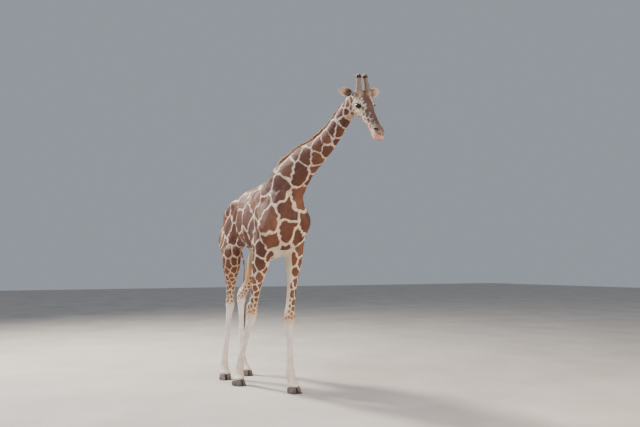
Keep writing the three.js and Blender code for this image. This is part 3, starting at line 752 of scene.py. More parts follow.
skin_points = points_of(skin_mesh)
spacing = patch_spacing(skin_places)
flat_points = skin_points * TALLER
centres = throw_centres(flat_points, spacing)
for _ in range(SETTLING_ROUNDS):
    owner = nearest_few(flat_points, centres)[1][:, 0]
    weight = spacing ** -3.0
    total = np.maximum(np.bincount(owner, weight, len(centres)), 1e-12)
    sums = [np.bincount(owner, weight * flat_points[:, axis], len(centres)) for axis in range(3)]
    centres = np.stack([along_axis / total for along_axis in sums], 1)
print("patches", len(centres))

# %% How deep inside its patch each point lies
WAVES, SHORTEST_WAVE, WAVE_STEP, WANDER = 14, 0.05, 0.02, 0.055
wander_rows = [(rng.normal(size=3), rng.uniform(0, 6.3), rng.normal(size=3)) for _ in range(WAVES)]


def wander_field(points):
    """A smooth random push of each point, made of a few sine waves of 5 to 30 cm."""
    push = np.zeros_like(points)
    for row, (direction, phase, way) in enumerate(wander_rows):
        wave = direction / np.linalg.norm(direction) * 2 * math.pi / (SHORTEST_WAVE + WAVE_STEP * row)
        push += np.sin(points @ wave + phase)[:, None] * way
    return push / len(wander_rows) ** 0.5


def patch_depth(points, spacing):
    """Millimetres from the nearest edge of the patch, less half the pale line, and the patch's number."""
    rough = points * TALLER
    rough = rough + wander_field(points) * (spacing * WANDER * MM)[:, None]
    squares, numbers = nearest_few(rough, centres)
    apart = np.linalg.norm(centres[numbers[:, 1:]] - centres[numbers[:, :1]], axis=2)
    depth = ((squares[:, 1:] - squares[:, :1]) / (2 * np.maximum(apart, 1e-6))).min(axis=1) / MM
    half_line = np.interp(spacing, [35, 60, 110, 170, 235], [4.2, 5.5, 7.5, 8.5, 9.5])
    return depth - half_line, numbers[:, 0]


bare_depth, owner = patch_depth(skin_points, spacing)
print("share of coat in patches", round(float((bare_depth > 0).mean()), 2))

# %% [markdown]
# ## Colours of the coat
#
# The patches are chestnut, each a little different; the lines are cream. Below the knees and hocks
# there are no patches, only off-white hair. The inside of the thighs is tan, the forehead and the
# bridge of the nose are dark brown, the muzzle is grey and the lips are pinkish tan.

# %% Paint the skin
BROWNS = np.array([linear(c)[:3] for c in ("#694435", "#714836", "#5f3d32", "#764f3d", "#654339")])


def layered(colours, layers):
    """The colours with others laid over them, each by its own amount at every point."""
    for code, amount in layers:
        colours = colours + (np.array(linear(code)[:3]) - colours) * np.clip(amount, 0, 1)[:, None]
    return colours


def paint_body(at, depth, owner):
    """The patch colour, the colour of the lines, and the depth with the unpatched parts taken out."""
    leg_share, joint_up, hind = at["leg_share"], at["joint_up"], at["hind"]
    off_neck, off_middle = at["neck"] < 0.3, np.abs(at["y"])
    legs = smooth_step(-leg_share, -1.15, -0.55) * off_neck
    below = smooth_step(-joint_up, -20, 130)
    shin = smooth_step(-joint_up, -190, 30) * off_neck
    inner = smooth_step(-off_middle, -150, -70)
    thigh = smooth_step(leg_share, 0.1, 0.5) * smooth_step(-leg_share, -1.4, -1.0)
    belly = smooth_step(-at["z"], -1900, -1790) * smooth_step(leg_share, 0.78, 1.12)
    belly *= smooth_step(-off_middle, -190, -90)
    knee = smooth_step(-np.abs(joint_up + 10), -95, -35) * ~hind
    fetlock = smooth_step(-np.abs(at["z"] - 200), -110, -40)
    thickness = np.interp(joint_up, [0, 350, 800], [52, 56, 92])
    armpit = smooth_step(at["inward"] / thickness, 0.6, 0.9) * smooth_step(leg_share, 0.0, 0.3)
    armpit *= smooth_step(-leg_share, -1.12, -0.9) * ~hind
    chest = smooth_step(at["x"], 520, 680) * smooth_step(-at["z"], -2600, -2440)
    shade = 0.9 + 0.2 * ((owner * 7919) % 17) / 17
    patch = layered(BROWNS[owner % len(BROWNS)] * shade[:, None], [
        ("#7e543e", legs * 0.7), ("#b08468", shin * 0.8)])
    ground = layered(np.tile(linear("#e0cbb4")[:3], (len(depth), 1)), [
        ("#e3d4be", legs), ("#cf9a63", thigh * hind * 0.5), ("#c79461", thigh * inner * hind * 0.9),
        ("#e2d2ba", belly), ("#cda274", knee * 0.6), ("#e7dfd5", below * 0.9), ("#d9b48c", fetlock * 0.4),
        ("#dfcdb4", armpit)])
    random_part = ((owner * 2654435761) % 1000) / 1000
    depth = depth - random_part * np.interp(patch_spacing(at), [40, 120, 240], [2.5, 3, 2])
    depth = depth - 5 * chest * (at["head"] < 0.1)
    depth = depth - 46 * below - 34 * belly - 40 * thigh * inner * hind - 44 * armpit
    return patch, ground, depth


def paint_head(at, patch, ground, depth):
    """The same three, with the marks of head and ears and painted shade in ears, nostrils and mouth."""
    head, ear, hx, hy, hz = at["head"], at["ear"], at["hx"], np.abs(at["hy"]), at["hz"]
    bridge_half = np.interp(hx, [40, 110, 190, 290, 380, 480, 640], [66, 58, 52, 44, 62, 80, 80])
    bridge_low = np.interp(hx, [40, 200, 320, 400, 560, 640], [-40, -52, -52, -104, -118, -112])
    ripple = 7 * np.sin(hx / 17) + 5 * np.sin(hx / 7.3 + np.sign(at["hy"]))
    bridge = smooth_step(bridge_half + ripple - hy, -7, 9) * smooth_step(hz - bridge_low, -8, 10) * head
    bridge *= smooth_step(hx, 60, 120)
    broken = smooth_step(hx, 320, 380) * np.maximum(smooth_step(hy, 16, 28), smooth_step(-hz, 62, 74))
    boss = smooth_step(-np.hypot(np.hypot(hx - 100, hy - 62), hz - 6), -66, -38) * head
    muzzle = smooth_step(hx, 520, 590) * head
    jaw = smooth_step(hx, 400, 520) * smooth_step(-hz, 96, 130) * head
    lips = smooth_step(hx, 530, 600) * smooth_step(-hz, 106, 130) * head
    cheek = smooth_step(hx, 120, 260) * smooth_step(-hx, -520, -380) * smooth_step(-hz, 70, 110) * head
    below_eye = smooth_step(-np.hypot((hx - 285) / 1.5, hz + 108), -46, -22) * head
    brow = smooth_step(-np.hypot(hx - 205, hz + 34), -46, -26) * smooth_step(hy, 60, 74) * head
    throat = smooth_step(-np.hypot(hx - 138, hz + 296), -54, -16) * (at["z"] > 2900)
    ahead, above = hx - EYE_ON_HEAD[0] - 16, hz - EYE_ON_HEAD[2] - ALMOND["tilt"] * (hx - EYE_ON_HEAD[0])
    corner = smooth_step(-np.hypot(ahead / 1.7, above), -31, -20) * smooth_step(hy, 48, 64) * head
    lid = np.maximum(smooth_step(-at["lid_gap"], -22, -11), corner)
    hollow = at["ear_inside"] * smooth_step(-at["ear_rim"], -0.92, -0.7)
    # Painted shade: inside the nostrils the coat is painted nearly black, for the dark of the openings.
    nostril = smooth_step(-at["nostril_gap"], -19, -9)
    patch = layered(patch, [
        ("#84705f", head), ("#8d6d52", head * smooth_step(-hz, 70, 150) * 0.8), ("#5c4540", bridge),
        ("#85736a", boss), ("#6a5650", muzzle), ("#8f8273", brow), ("#241a17", lid), ("#1d1615", nostril)])
    ground = layered(ground, [
        ("#d8c4aa", head), ("#947c6b", bridge * 0.75), ("#85736a", boss),
        ("#8a776e", muzzle * smooth_step(hz, -150, -105)), ("#d3a788", jaw * 0.8), ("#cf9480", lips),
        ("#d8bb9b", lips * smooth_step(-hz, 186, 204)), ("#d9bf97", below_eye), ("#cabfae", brow),
        ("#cf8f5c", throat * 0.62), ("#241a17", lid), ("#d9cab6", ear), ("#b59c8c", hollow),
        # Painted shade: the ear hollow is darkened towards its root, where the funnel is deepest.
        ("#3b2a24", hollow * smooth_step(-at["ear_up"], -142, -84) * 0.9), ("#1d1615", nostril),
        # Painted shade: a dark line along the crease between the lips.
        ("#6a4a3f", smooth_step(-at["lip_gap"], -6, -2))])
    depth = depth + (26 - 24.5 * broken) * bridge
    depth = depth - 1.0 * cheek - 30 * lips - 14 * muzzle * (1 - bridge)
    return patch, ground, depth - 9 * below_eye - 30 * throat - 300 * ear


patch_colour, ground_colour, depth = paint_head(skin_places, *paint_body(skin_places, bare_depth, owner))
painted_out = depth - bare_depth
store(skin_mesh, patch_colour=patch_colour, ground_colour=ground_colour, depth_in_patch=depth,
      root=skin_points)
print("painted")

# %% [markdown]
# ## Materials
#
# Every material is built with one small function that adds a node, sets its constants and joins
# its inputs. The coat reads the depth in the patch, shakes it with fine noise so that the edges
# are ragged like hair, and picks the patch colour or the line colour.
#
# A noise node takes its scale from the width of its largest spots in millimetres. A map range
# takes its value, the low and high it comes from, and the low and high it goes to. A mix takes
# its share, and then the two colours on its sockets 6 and 7.

# %% The node helper


def fill(tree, node, inputs):
    """Sets a node's own inputs. Each value is a constant or another node's output socket."""
    for name, value in inputs.items():
        if isinstance(value, bpy.types.NodeSocket):
            tree.links.new(value, node.inputs[name])
        else:
            node.inputs[name].default_value = value


def add_node(tree, kind, inputs, out=0, **settings):
    """Adds a node with its settings and links, and gives one of its output sockets."""
    node = tree.nodes.new(f"ShaderNode{kind}")
    for name, value in settings.items():
        setattr(node, name, value)
    fill(tree, node, inputs)
    return node.outputs[out]


def new_material(name):
    material = bpy.data.materials.new(name)
    material.use_nodes = True
    tree = material.node_tree
    return material, tree, tree.nodes["Principled BSDF"]


print("node helper ready")

# %% The coat and the ground
KERATIN_IOR, CORNEA_IOR, EARTH_IOR = 1.55, 1.376, 1.54
PER_METRE, SOFT = 1000, {"Detail": 4, "Roughness": 0.6}


def coat_material(name, roughness, bump_height):
    """Short hair over hide, chestnut in the patches and cream in the lines.

    Real: hair 15 to 20 mm long, combed flat by growth. To the eye it is nearly matt, with a weak
    satin sheen, ragged edges where brown hair lies over cream, and soft lighter and darker clouds
    90 mm wide where the hair parts. Locks are about 2.4 mm wide, which is drawn as the bump.
    """
    material, tree, shader = new_material(name)
    depth = add_node(tree, "Attribute", {}, "Fac", attribute_name="depth_in_patch")
    patch = add_node(tree, "Attribute", {}, "Color", attribute_name="patch_colour")
    ground = add_node(tree, "Attribute", {}, "Color", attribute_name="ground_colour")
    root = add_node(tree, "Attribute", {}, "Vector", attribute_name="root")
    edge = add_node(tree, "TexNoise", {"Vector": root, "Scale": PER_METRE / 23, **SOFT})
    ragged = add_node(tree, "MapRange", {0: edge, 1: 0.3, 2: 0.7, 3: -3.6, 4: 3.6})
    shaken = add_node(tree, "Math", {0: depth, 1: ragged}, operation="ADD")
    inside = add_node(tree, "MapRange", {0: shaken, 1: -2, 2: 2.5, 3: 0, 4: 1})
    picked = add_node(tree, "Mix", {0: inside, 6: ground, 7: patch}, 2, data_type="RGBA")
    cloud = add_node(tree, "TexNoise", {"Vector": root, "Scale": PER_METRE / 90, **SOFT, "Detail": 6})
    shade = add_node(tree, "MapRange", {0: cloud, 1: 0.28, 2: 0.72, 3: 0.82, 4: 1.14})
    colour = add_node(tree, "VectorMath", {0: picked, "Scale": shade}, operation="SCALE")
    locks = add_node(tree, "TexNoise", {"Vector": root, "Scale": PER_METRE / 2.4, **SOFT, "Detail": 2})
    bump = add_node(tree, "Bump", {"Height": locks, "Distance": bump_height, "Strength": 0.6}, "Normal")
    fill(tree, shader, {"Base Color": colour, "IOR": KERATIN_IOR, "Roughness": roughness,
                        "Specular IOR Level": 0.22, "Normal": bump})
    return material


def ground_look():
    """Dry trodden earth: quite matt, with pale clouds over a metre wide and grit of about 11 mm."""
    material, tree, shader = new_material("pale_dry_earth")
    where = add_node(tree, "TexCoord", {}, "Object")
    cloud = add_node(tree, "TexNoise", {"Vector": where, "Scale": PER_METRE / 1250, **SOFT, "Detail": 6})
    pale = add_node(tree, "MapRange", {0: cloud, 1: 0.3, 2: 0.7, 3: 0, 4: 1})
    earths = {0: pale, 6: linear("#b7afa8"), 7: linear("#c9c3bd")}
    colour = add_node(tree, "Mix", earths, 2, data_type="RGBA")
    grit = add_node(tree, "TexNoise", {"Vector": where, "Scale": PER_METRE / 11, **SOFT, "Detail": 6})
    bump = add_node(tree, "Bump", {"Height": grit, "Distance": 0.004, "Strength": 0.5}, "Normal")
    fill(tree, shader, {"Base Color": colour, "IOR": EARTH_IOR, "Roughness": 0.95, "Normal": bump})
    return material


skin_mesh.materials.append(coat_material("short_haired_hide", 0.62, 0.0012))
ground_material = ground_look()
skin_mesh.shade_smooth()
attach(skin, "root")
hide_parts(*FLESH)
print("materials", [m.name for m in bpy.data.materials])

# %% [markdown]
# ## Eyes, horns and hooves
#
# These stay apart from the skin, as they do in life. The eye is a ball with a clear bulge over
# the pupil, which in a giraffe is wide and level. The horns are bone under hair, thick at the root
# and knobbed at the tip. Each hoof has two claws of grey-brown horn with rings of growth.

# %% Eyes
GAZE = (0.42, 0.9, -0.05)
BALL_RADIUS, BULGE = EYE_RADIUS - 0.4, 0.028
PUPIL_LENGTH, PUPIL_HEIGHT, BEHIND = 0.44, 0.26, 2.0


def eye_look():
    """A wet cornea over a dark brown iris.

    Real: smooth tear film over a clear bulge. To the eye it is nearly black with one small sharp
    highlight; close up the iris is warm brown round a wide level pupil.
    """
    material, tree, shader = new_material("wet_brown_eye")
    iris = add_node(tree, "Attribute", {}, "Fac", attribute_name="iris")
    pupil = add_node(tree, "Attribute", {}, "Fac", attribute_name="pupil")
    outside = add_node(tree, "MapRange", {0: iris, 1: 0.62, 2: 0.7, 3: 0, 4: 1})
    ball = {0: outside, 6: linear("#3a2013"), 7: linear("#2a1d18")}
    white = add_node(tree, "Mix", ball, 2, data_type="RGBA")
    round_pupil = add_node(tree, "MapRange", {0: pupil, 1: 0.9, 2: 1.15, 3: 0, 4: 1})
    dark = add_node(tree, "Mix", {0: round_pupil, 6: linear("#050404"), 7: white}, 2, data_type="RGBA")
    fill(tree, shader, {"Base Color": dark, "IOR": CORNEA_IOR, "Roughness": 0.08, "Coat Weight": 0.8,
                        "Coat Roughness": 0.03})
    return material


def make_eye(side):
    s = SIDES[side]
    turn = head_axes.to_3x3().normalized()
    gaze = (turn @ Vector((GAZE[0], s * GAZE[1], GAZE[2]))).normalized()
    level = (turn @ Vector((math.cos(ALMOND["tilt"]), 0, math.sin(ALMOND["tilt"])))).normalized()
    level = (level - gaze * level.dot(gaze)).normalized()
    form = bmesh.new()
    bmesh.ops.create_uvsphere(form, u_segments=64, v_segments=40, radius=BALL_RADIUS * HEAD_SCALE * MM)
    in_order(form)
    mesh = mesh_from(form, f"eyeball_{side}")
    balls = points_of(mesh)
    ways = balls / np.linalg.norm(balls, axis=1)[:, None]
    ahead, along, upward = ways @ np.array(gaze), ways @ np.array(level), ways @ np.array(gaze.cross(level))
    balls *= (1 + BULGE * smooth_step(ahead, 0.72, 0.95))[:, None]
    set_points(mesh, balls + np.array(on_head(EYE_ON_HEAD, s)))
    back = BEHIND * (ahead < 0)
    store(mesh, iris=np.hypot(along, upward) + back,
          pupil=np.hypot(along / PUPIL_LENGTH, upward / PUPIL_HEIGHT) + back)
    mesh.shade_smooth()
    return finish_piece(f"eyeball_{side}", mesh, eye_material, "eye", f"eye_{side}")


eye_material = eye_look()
eyes = [make_eye(side) for side in SIDES]
print("eyes", [eye.name for eye in eyes])

# %% Horns
HORN_ROOT, HORN_TIP = (92, 60, 12), (-52, 42, 140)
HORN_PROFILE = [(-0.3, 0), (-0.3, 22), (-0.12, 30), (0.02, 34), (0.12, 36), (0.24, 34.5), (0.38, 31.5),
                (0.52, 28.5), (0.66, 26), (0.8, 25), (0.92, 25.5), (1.02, 24), (1.08, 18.5), (1.11, 10),
                (1.12, 0)]
LUMP_FINENESS, LUMP_HEIGHT = 1.7, 1.3 * MM


def horn_look():
    """Horn core under haired skin.

    Real: bone under skin and rubbed short hair. To the eye it is dull grey-brown, a little lumpy,
    and dark in a ring below the tip. Hair locks are about 2.6 mm wide.
    """
    material, tree, shader = new_material("haired_horn")
    up = add_node(tree, "Attribute", {}, "Fac", attribute_name="up_the_horn")
    root = add_node(tree, "Attribute", {}, "Vector", attribute_name="root")
    edge = add_node(tree, "TexNoise", {"Vector": root, "Scale": PER_METRE / 25, **SOFT})
    ragged = add_node(tree, "MapRange", {0: edge, 1: 0, 2: 1, 3: -0.07, 4: 0.07})
    shaken = add_node(tree, "Math", {0: up, 1: ragged}, operation="ADD")
    stem_share = add_node(tree, "MapRange", {0: shaken, 1: 0.05, 2: 0.6, 3: 0, 4: 1})
    greys = {0: stem_share, 6: linear("#786760"), 7: linear("#725f56")}
    stem = add_node(tree, "Mix", greys, 2, data_type="RGBA")
    tip_share = add_node(tree, "MapRange", {0: shaken, 1: 0.84, 2: 0.93, 3: 0, 4: 1})
    tipped = add_node(tree, "Mix", {0: tip_share, 6: stem, 7: linear("#54433a")}, 2, data_type="RGBA")
    locks = add_node(tree, "TexNoise", {"Vector": root, "Scale": PER_METRE / 2.6, **SOFT, "Detail": 3})
    bump = add_node(tree, "Bump", {"Height": locks, "Distance": 0.0015, "Strength": 0.7}, "Normal")
    fill(tree, shader, {"Base Color": tipped, "IOR": KERATIN_IOR, "Roughness": 0.75, "Normal": bump})
    return material


def make_horn(side):
    root, tip = on_head(HORN_ROOT, SIDES[side]), on_head(HORN_TIP, SIDES[side])
    axis = tip - root
    form = bmesh.new()
    verts = [form.verts.new((radius * HEAD_SCALE * MM, 0, share * axis.length))
             for share, radius in HORN_PROFILE]
    edges = [form.edges.new(pair) for pair in zip(verts[:-1], verts[1:])]
    bmesh.ops.spin(form, geom=verts + edges, axis=(0, 0, 1), cent=(0, 0, 0), angle=2 * math.pi, steps=28,
                   use_merge=True)
    bmesh.ops.remove_doubles(form, verts=form.verts, dist=1e-6)
    in_order(form)
    bmesh.ops.recalc_face_normals(form, faces=form.faces)
    bmesh.ops.subdivide_edges(form, edges=form.edges, cuts=1, smooth=1.0, use_grid_fill=True)
    turn = axis.to_track_quat("Z", "Y").to_matrix().to_4x4()
    bmesh.ops.transform(form, matrix=Matrix.Translation(root) @ turn, verts=form.verts)
    mesh = mesh_from(form, f"horn_{side}")
    points = points_of(mesh).round(7)
    set_points(mesh, points + wander_field(points * LUMP_FINENESS) * LUMP_HEIGHT)
    store(mesh, up_the_horn=((points - np.array(root)) @ np.array(axis)) / axis.length_squared, root=points)
    mesh.shade_smooth()
    return finish_piece(f"horn_{side}", mesh, horn_material, "ossicone_skin", f"ossicone_{side}")


horn_material = horn_look()
horns = [make_horn(side) for side in SIDES]
print("horns", [len(horn.data.polygons) for horn in horns])

# %% Hooves
CLAW_GRAIN, RING_GAP, RING_HEIGHT, SOLE = 3.6 * MM, 10 * MM, 0.5 * MM, 3 * MM
RIDGE_TURN = 5.2  # millimetres in which the ridges of the horn turn one radian


def hoof_look():
    """Hoof horn, grown in rings.

    Real: keratin in layers, scuffed and dusty. To the eye it is grey-brown with a dull polish, fine
    level rings 10 mm apart, darker from 7 cm down to the ground, and dust in clouds 33 mm across.
    """
    material, tree, shader = new_material("hoof_horn")
    where = add_node(tree, "Attribute", {}, "Vector", attribute_name="root")
    up = add_node(tree, "SeparateXYZ", {0: where}, 2)
    sway = add_node(tree, "TexNoise", {"Vector": where, "Scale": PER_METRE / 62, **SOFT})
    swayed = add_node(tree, "MapRange", {0: sway, 1: 0, 2: 1, 3: -0.012, 4: 0.012})
    shaken = add_node(tree, "Math", {0: up, 1: swayed}, operation="ADD")
    turned = add_node(tree, "Math", {0: shaken, 1: 2 * math.pi / RING_GAP}, operation="MULTIPLY")
    rings = add_node(tree, "Math", {0: turned}, operation="SINE")
    # The horn is darker near the ground and paler from 7 cm up.
    paler_higher_up = add_node(tree, "MapRange", {0: shaken, 1: 0.01, 2: 0.07, 3: 0, 4: 1})
    horn = {0: paler_higher_up, 6: linear("#3d3531"), 7: linear("#6b5e56")}
    base = add_node(tree, "Mix", horn, 2, data_type="RGBA")
    dust = add_node(tree, "TexNoise", {"Vector": where, "Scale": PER_METRE / 33, **SOFT})
    dust_share = add_node(tree, "MapRange", {0: dust, 1: 0.5, 2: 0.75, 3: 0, 4: 0.55})
    dusty = add_node(tree, "Mix", {0: dust_share, 6: base, 7: linear("#a1958b")}, 2, data_type="RGBA")
    bump = add_node(tree, "Bump", {"Height": rings, "Distance": 0.0012, "Strength": 0.6}, "Normal")
    fill(tree, shader, {"Base Color": dusty, "IOR": KERATIN_IOR, "Roughness": 0.6, "Normal": bump})
    return material


def make_hoof(foot):
    """Both claws of a foot, rounded by a remesh, with soles kept flat on the ground."""
    form = bmesh.new()
    claws = [f"hoof_{foot}_{part}" for part in ("outer", "inner")]
    for claw in claws:
        form.from_mesh(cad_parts[claw].data)
    mesh = remeshed(form, CLAW_GRAIN)
    points = smoothed(points_of(mesh), edge_pairs(mesh), 14, 0.51)
    rings = np.sin(points[:, 2] / MM / RIDGE_TURN) * RING_HEIGHT * smooth_step(points[:, 2], 0.012, 0.03)
    points += normals_of(mesh) * rings[:, None]
    points[:, 2] = np.where(points[:, 2] < SOLE, 0.0, points[:, 2])
    set_points(mesh, points)
    store(mesh, root=points)
    mesh.shade_smooth()
    mesh.name = f"hoof_{foot}"
    return finish_piece(f"hoof_{foot}", mesh, hoof_material, "hoof_horn", *claws)


hoof_material = hoof_look()
hooves = [make_hoof(foot) for foot in FEET]
print("hooves", [len(hoof.data.polygons) for hoof in hooves])

# %% [markdown]
# ## The coat's own map
#
# The skin is unwrapped once. Each tuft of hair keeps a tiny patch of the same map, at the place
# of its root, so hair and skin can share one set of markings.

# %% Unwrap the skin
bpy.context.view_layer.objects.active = skin
skin.select_set(True)
bpy.ops.object.mode_set(mode="EDIT")
bpy.ops.mesh.select_all(action="SELECT")
bpy.ops.uv.smart_project(angle_limit=math.radians(70), island_margin=0.001)
bpy.ops.object.mode_set(mode="OBJECT")
skin.select_set(False)
skin_mesh.uv_layers[0].name = "OFBake"
print("map", skin_mesh.uv_layers[0].name)

# %% [markdown]
# ## Growing hair
#
# One hair tuft is a thin closed spike, made once. A few arrays then place thousands of copies:
# a root on the skin, a way for it to point, a length and a width. Tufts lie nearly flat and all
# follow the same flow: from the head down the neck and back along the body, down the legs, and on
# the face from the nose up to the ears.

# %% One spike, and many
MAP_PATCH, HAIR_THICKNESS = 0.003, 0.45


def spike(rings):
    """A closed three-sided spike of height 1 as arrays of points and triangles, cut into rings."""
    form = bmesh.new()
    bmesh.ops.create_cone(form, cap_ends=True, cap_tris=False, segments=3, radius1=0.5, radius2=0, depth=1)
    bmesh.ops.translate(form, verts=form.verts, vec=(0, 0, 0.5))
    bmesh.ops.remove_doubles(form, verts=form.verts, dist=1e-6)
    for ring in range(1, rings):
        everything = form.verts[:] + form.edges[:] + form.faces[:]
        bmesh.ops.bisect_plane(form, geom=everything, plane_co=(0, 0, ring / rings), plane_no=(0, 0, 1))
    bmesh.ops.triangulate(form, faces=form.faces)
    bmesh.ops.recalc_face_normals(form, faces=form.faces)
    form.verts.index_update()
    points = np.array([tuple(v.co) for v in form.verts])
    triangles = np.array([[v.index for v in face.verts] for face in form.faces])
    form.free()
    left_above = 1 - points[:, 2] * 0.999
    points[:, :2] *= (left_above ** 0.6 / left_above)[:, None]
    return points, triangles


def grow(name, material, roots, way, up, length, width, lean, template, uvs, colours, slot="coat"):
    """One mesh of hair. `lean` bends each hair: its tip moves that far, in lengths."""
    points, triangles = template
    side = unit(np.cross(way, up))
    thick = np.cross(side, way)
    count, each = len(roots), len(points)
    t = points[:, 2][None, :, None]
    length, width = length[:, None, None], width[:, None, None]
    where = roots[:, None] + way[:, None] * (length * t)
    where = where + lean[:, None] * (length * t ** 2)
    where = where + side[:, None] * (width * points[:, 0][None, :, None])
    where = where + thick[:, None] * (width * HAIR_THICKNESS * points[:, 1][None, :, None])
    faces = (triangles[None] + (np.arange(count) * each)[:, None, None]).reshape(-1, 3)
    mesh = bpy.data.meshes.new(name)
    mesh.vertices.add(count * each)
    mesh.vertices.foreach_set("co", where.astype(np.float32).ravel())
    mesh.loops.add(faces.size)
    mesh.loops.foreach_set("vertex_index", faces.astype(np.int32).ravel())
    mesh.polygons.add(len(faces))
    mesh.polygons.foreach_set("loop_start", np.arange(0, faces.size, 3, dtype=np.int32))
    mesh.update(calc_edges=True)
    spread = np.tile(np.c_[points[:, 0], points[:, 2] - 0.5] * MAP_PATCH, (count, 1))
    spread = np.repeat(uvs, each, axis=0) + spread
    layer = mesh.uv_layers.new(name="OFBake")
    layer.uv.foreach_set("vector", np.clip(spread, 0, 1)[faces.ravel()].astype(np.float32).ravel())
    store(mesh, **{key: np.repeat(values, each, axis=0) for key, values in colours.items()})
    return finish_piece(name, mesh, material, slot)


SHORT_SPIKE, LONG_SPIKE = spike(1), spike(4)
print("spikes", len(SHORT_SPIKE[1]), len(LONG_SPIKE[1]))

# %% Where the roots are


def skin_samples(weights, count):
    """Random roots on the skin, thicker where the weights of its points are larger."""
    total = area * weights[corners].mean(axis=1)
    chosen = rng.choice(len(corners), count, p=total / total.sum())
    a, b = rng.random(count), rng.random(count)
    flip = a + b > 1
    a[flip], b[flip] = 1 - a[flip], 1 - b[flip]
    return chosen, np.stack([1 - a - b, a, b], 1)


def at_roots(values, chosen, shares):
    """The values of the skin's points, at the roots."""
    picked = values[corners[chosen]]
    shares = shares if values.ndim == 1 else shares[:, :, None]
    return (picked * shares).sum(axis=1)


def rooted(weights, count, tangle):
    """Random roots, the way up out of the skin there, and the flow of the hair laid on the skin."""
    chosen, shares = skin_samples(weights, count)
    roots, up = at_roots(skin_points, chosen, shares), unit(at_roots(skin_normals, chosen, shares))
    flow = at_roots(skin_flow, chosen, shares) + rng.normal(scale=tangle, size=(count, 3))
    flow = unit(flow - up * (flow * up).sum(axis=1)[:, None])
    uvs = (corner_uv[chosen] * shares[:, :, None]).sum(axis=1)
    return chosen, shares, roots, up, flow, uvs


skin_mesh.calc_loop_triangles()
corners = field_of(skin_mesh.loop_triangles, "vertices", 3, np.int32)
corner_loops = field_of(skin_mesh.loop_triangles, "loops", 3, np.int32)
corner_uv = field_of(skin_mesh.uv_layers["OFBake"].uv, "vector", 2)[corner_loops]
skin_points, skin_normals = points_of(skin_mesh), normals_of(skin_mesh)
a, b, c = (skin_points[corners[:, i]] for i in range(3))
area = np.linalg.norm(np.cross(b - a, c - a), axis=1) / 2
print("skin", round(float(area.sum()), 2), "square metres")

# %% The flow and the length of the hair
BACK_AND_DOWN, DOWN_LEG, UP_FACE, UP_EAR = (-1.0, 0.0, -0.45), (-0.12, 0, -1.0), (-1, 0, -0.15), (0, 1, 0)
TRUNK_HAIR, NECK_HAIR, EAR_HAIR = 21.0, 19.0, 9.0


def hair_flow(at, points):
    """The way the hair lies, before it is laid on the skin."""
    flow = np.tile(BACK_AND_DOWN, (len(points), 1))
    leg = smooth_step(-at["leg_share"], -1.35, -0.7)[:, None] * (at["neck"] < 0.3)[:, None]
    flow = flow * (1 - leg) + np.array(DOWN_LEG) * leg
    down_neck = np.array(tuple((place(*NECK[0]) - place(*NECK[-1])).normalized()))
    neck = smooth_step(at["neck"], 0.02, 0.3)[:, None]
    flow = flow * (1 - neck) + down_neck * neck
    head = at["head"][:, None]
    flow = flow * (1 - head) + np.array((head_axes.to_3x3() @ Vector(UP_FACE)).normalized()) * head
    for side in SIDES:
        mine = at["ear"] & (np.sign(at["y"] - HEAD_MIDDLE) == SIDES[side])
        flow[mine] = np.array((ear_axes(side).to_3x3() @ Vector(UP_EAR)).normalized())
    return flow


def hair_length(at):
    """Millimetres of hair at each point."""
    leg = np.interp(at["joint_up"], [-700, 0, 500], [11, 12, 16])
    length = np.where(at["leg_share"] < 1.1, leg, TRUNK_HAIR)
    length = np.where(at["neck"] > 0.1, NECK_HAIR, length)
    face = np.interp(at["hx"], [0, 150, 420, 620], [13, 9, 7, 4.5])
    length = length * (1 - at["head"]) + face * at["head"]
    length = np.where(at["ear"], EAR_HAIR, length)
    return length * smooth_step(at["lid_gap"], 1, 14) * smooth_step(at["nostril_gap"], 4, 12)


skin_flow = hair_flow(skin_places, skin_points)
skin_length = hair_length(skin_places)
print("hair length", round(float(skin_length.min()), 1), "to", round(float(skin_length.max()), 1), "mm")

# %% Grow the coat
coat_hair_material = coat_material("short_coat_hair", 0.7, 0.0)
on_head_part = (skin_places["head"] > 0.5) | skin_places["ear"]
on_neck_part = ~on_head_part & (skin_places["neck"] > 0.12) & (skin_points[:, 2] > 2.4)
on_leg_part = ~on_head_part & ~on_neck_part & (skin_places["leg_share"] < 1.15)
on_trunk_part = ~on_head_part & ~on_neck_part & ~on_leg_part
left_half = skin_places["y"] > 0
hind_half = skin_places["hind"]
COAT_PARTS = {
    "coat_head": (on_head_part, 47000),
    "coat_neck": (on_neck_part, 48000),
    "coat_trunk_left": (on_trunk_part & left_half, 47000),
    "coat_trunk_right": (on_trunk_part & ~left_half, 47000),
    "coat_forelegs": (on_leg_part & ~hind_half, 40000),
    "coat_hindlegs": (on_leg_part & hind_half, 40000),
}


def grow_coat(name, part, count):
    on_face = skin_places["head"] > 0.5
    finer = np.where(on_face, 1 + 2.5 * smooth_step(skin_places["hx"], 100, 600), 1.0)
    chosen, shares, roots, up, flow, uvs = rooted(part * finer * (skin_length > 2), count, 0.16)
    rise = rng.uniform(0.1, 0.3, count)[:, None]
    way = unit(flow + up * rise)
    length = at_roots(skin_length, chosen, shares) * rng.uniform(0.75, 1.2, count) * MM
    shade = rng.uniform(0.86, 1.12, count)[:, None]
    own_depth = patch_depth(roots, at_roots(spacing, chosen, shares))[0]
    colours = dict(depth_in_patch=own_depth + at_roots(painted_out, chosen, shares), root=roots,
                   patch_colour=at_roots(patch_colour, chosen, shares) * shade,
                   ground_colour=at_roots(ground_colour, chosen, shares) * shade)
    width = length * rng.uniform(0.15, 0.24, count)
    sunk = roots - up * (0.25 * length)[:, None] * 0.2
    return grow(name, coat_hair_material, sunk, way, up, length, width, -up * 0.12, SHORT_SPIKE, uvs,
                colours)


coat = [grow_coat(name, part, count) for name, (part, count) in COAT_PARTS.items()]
print("coat", {piece.name: len(piece.data.polygons) for piece in coat})

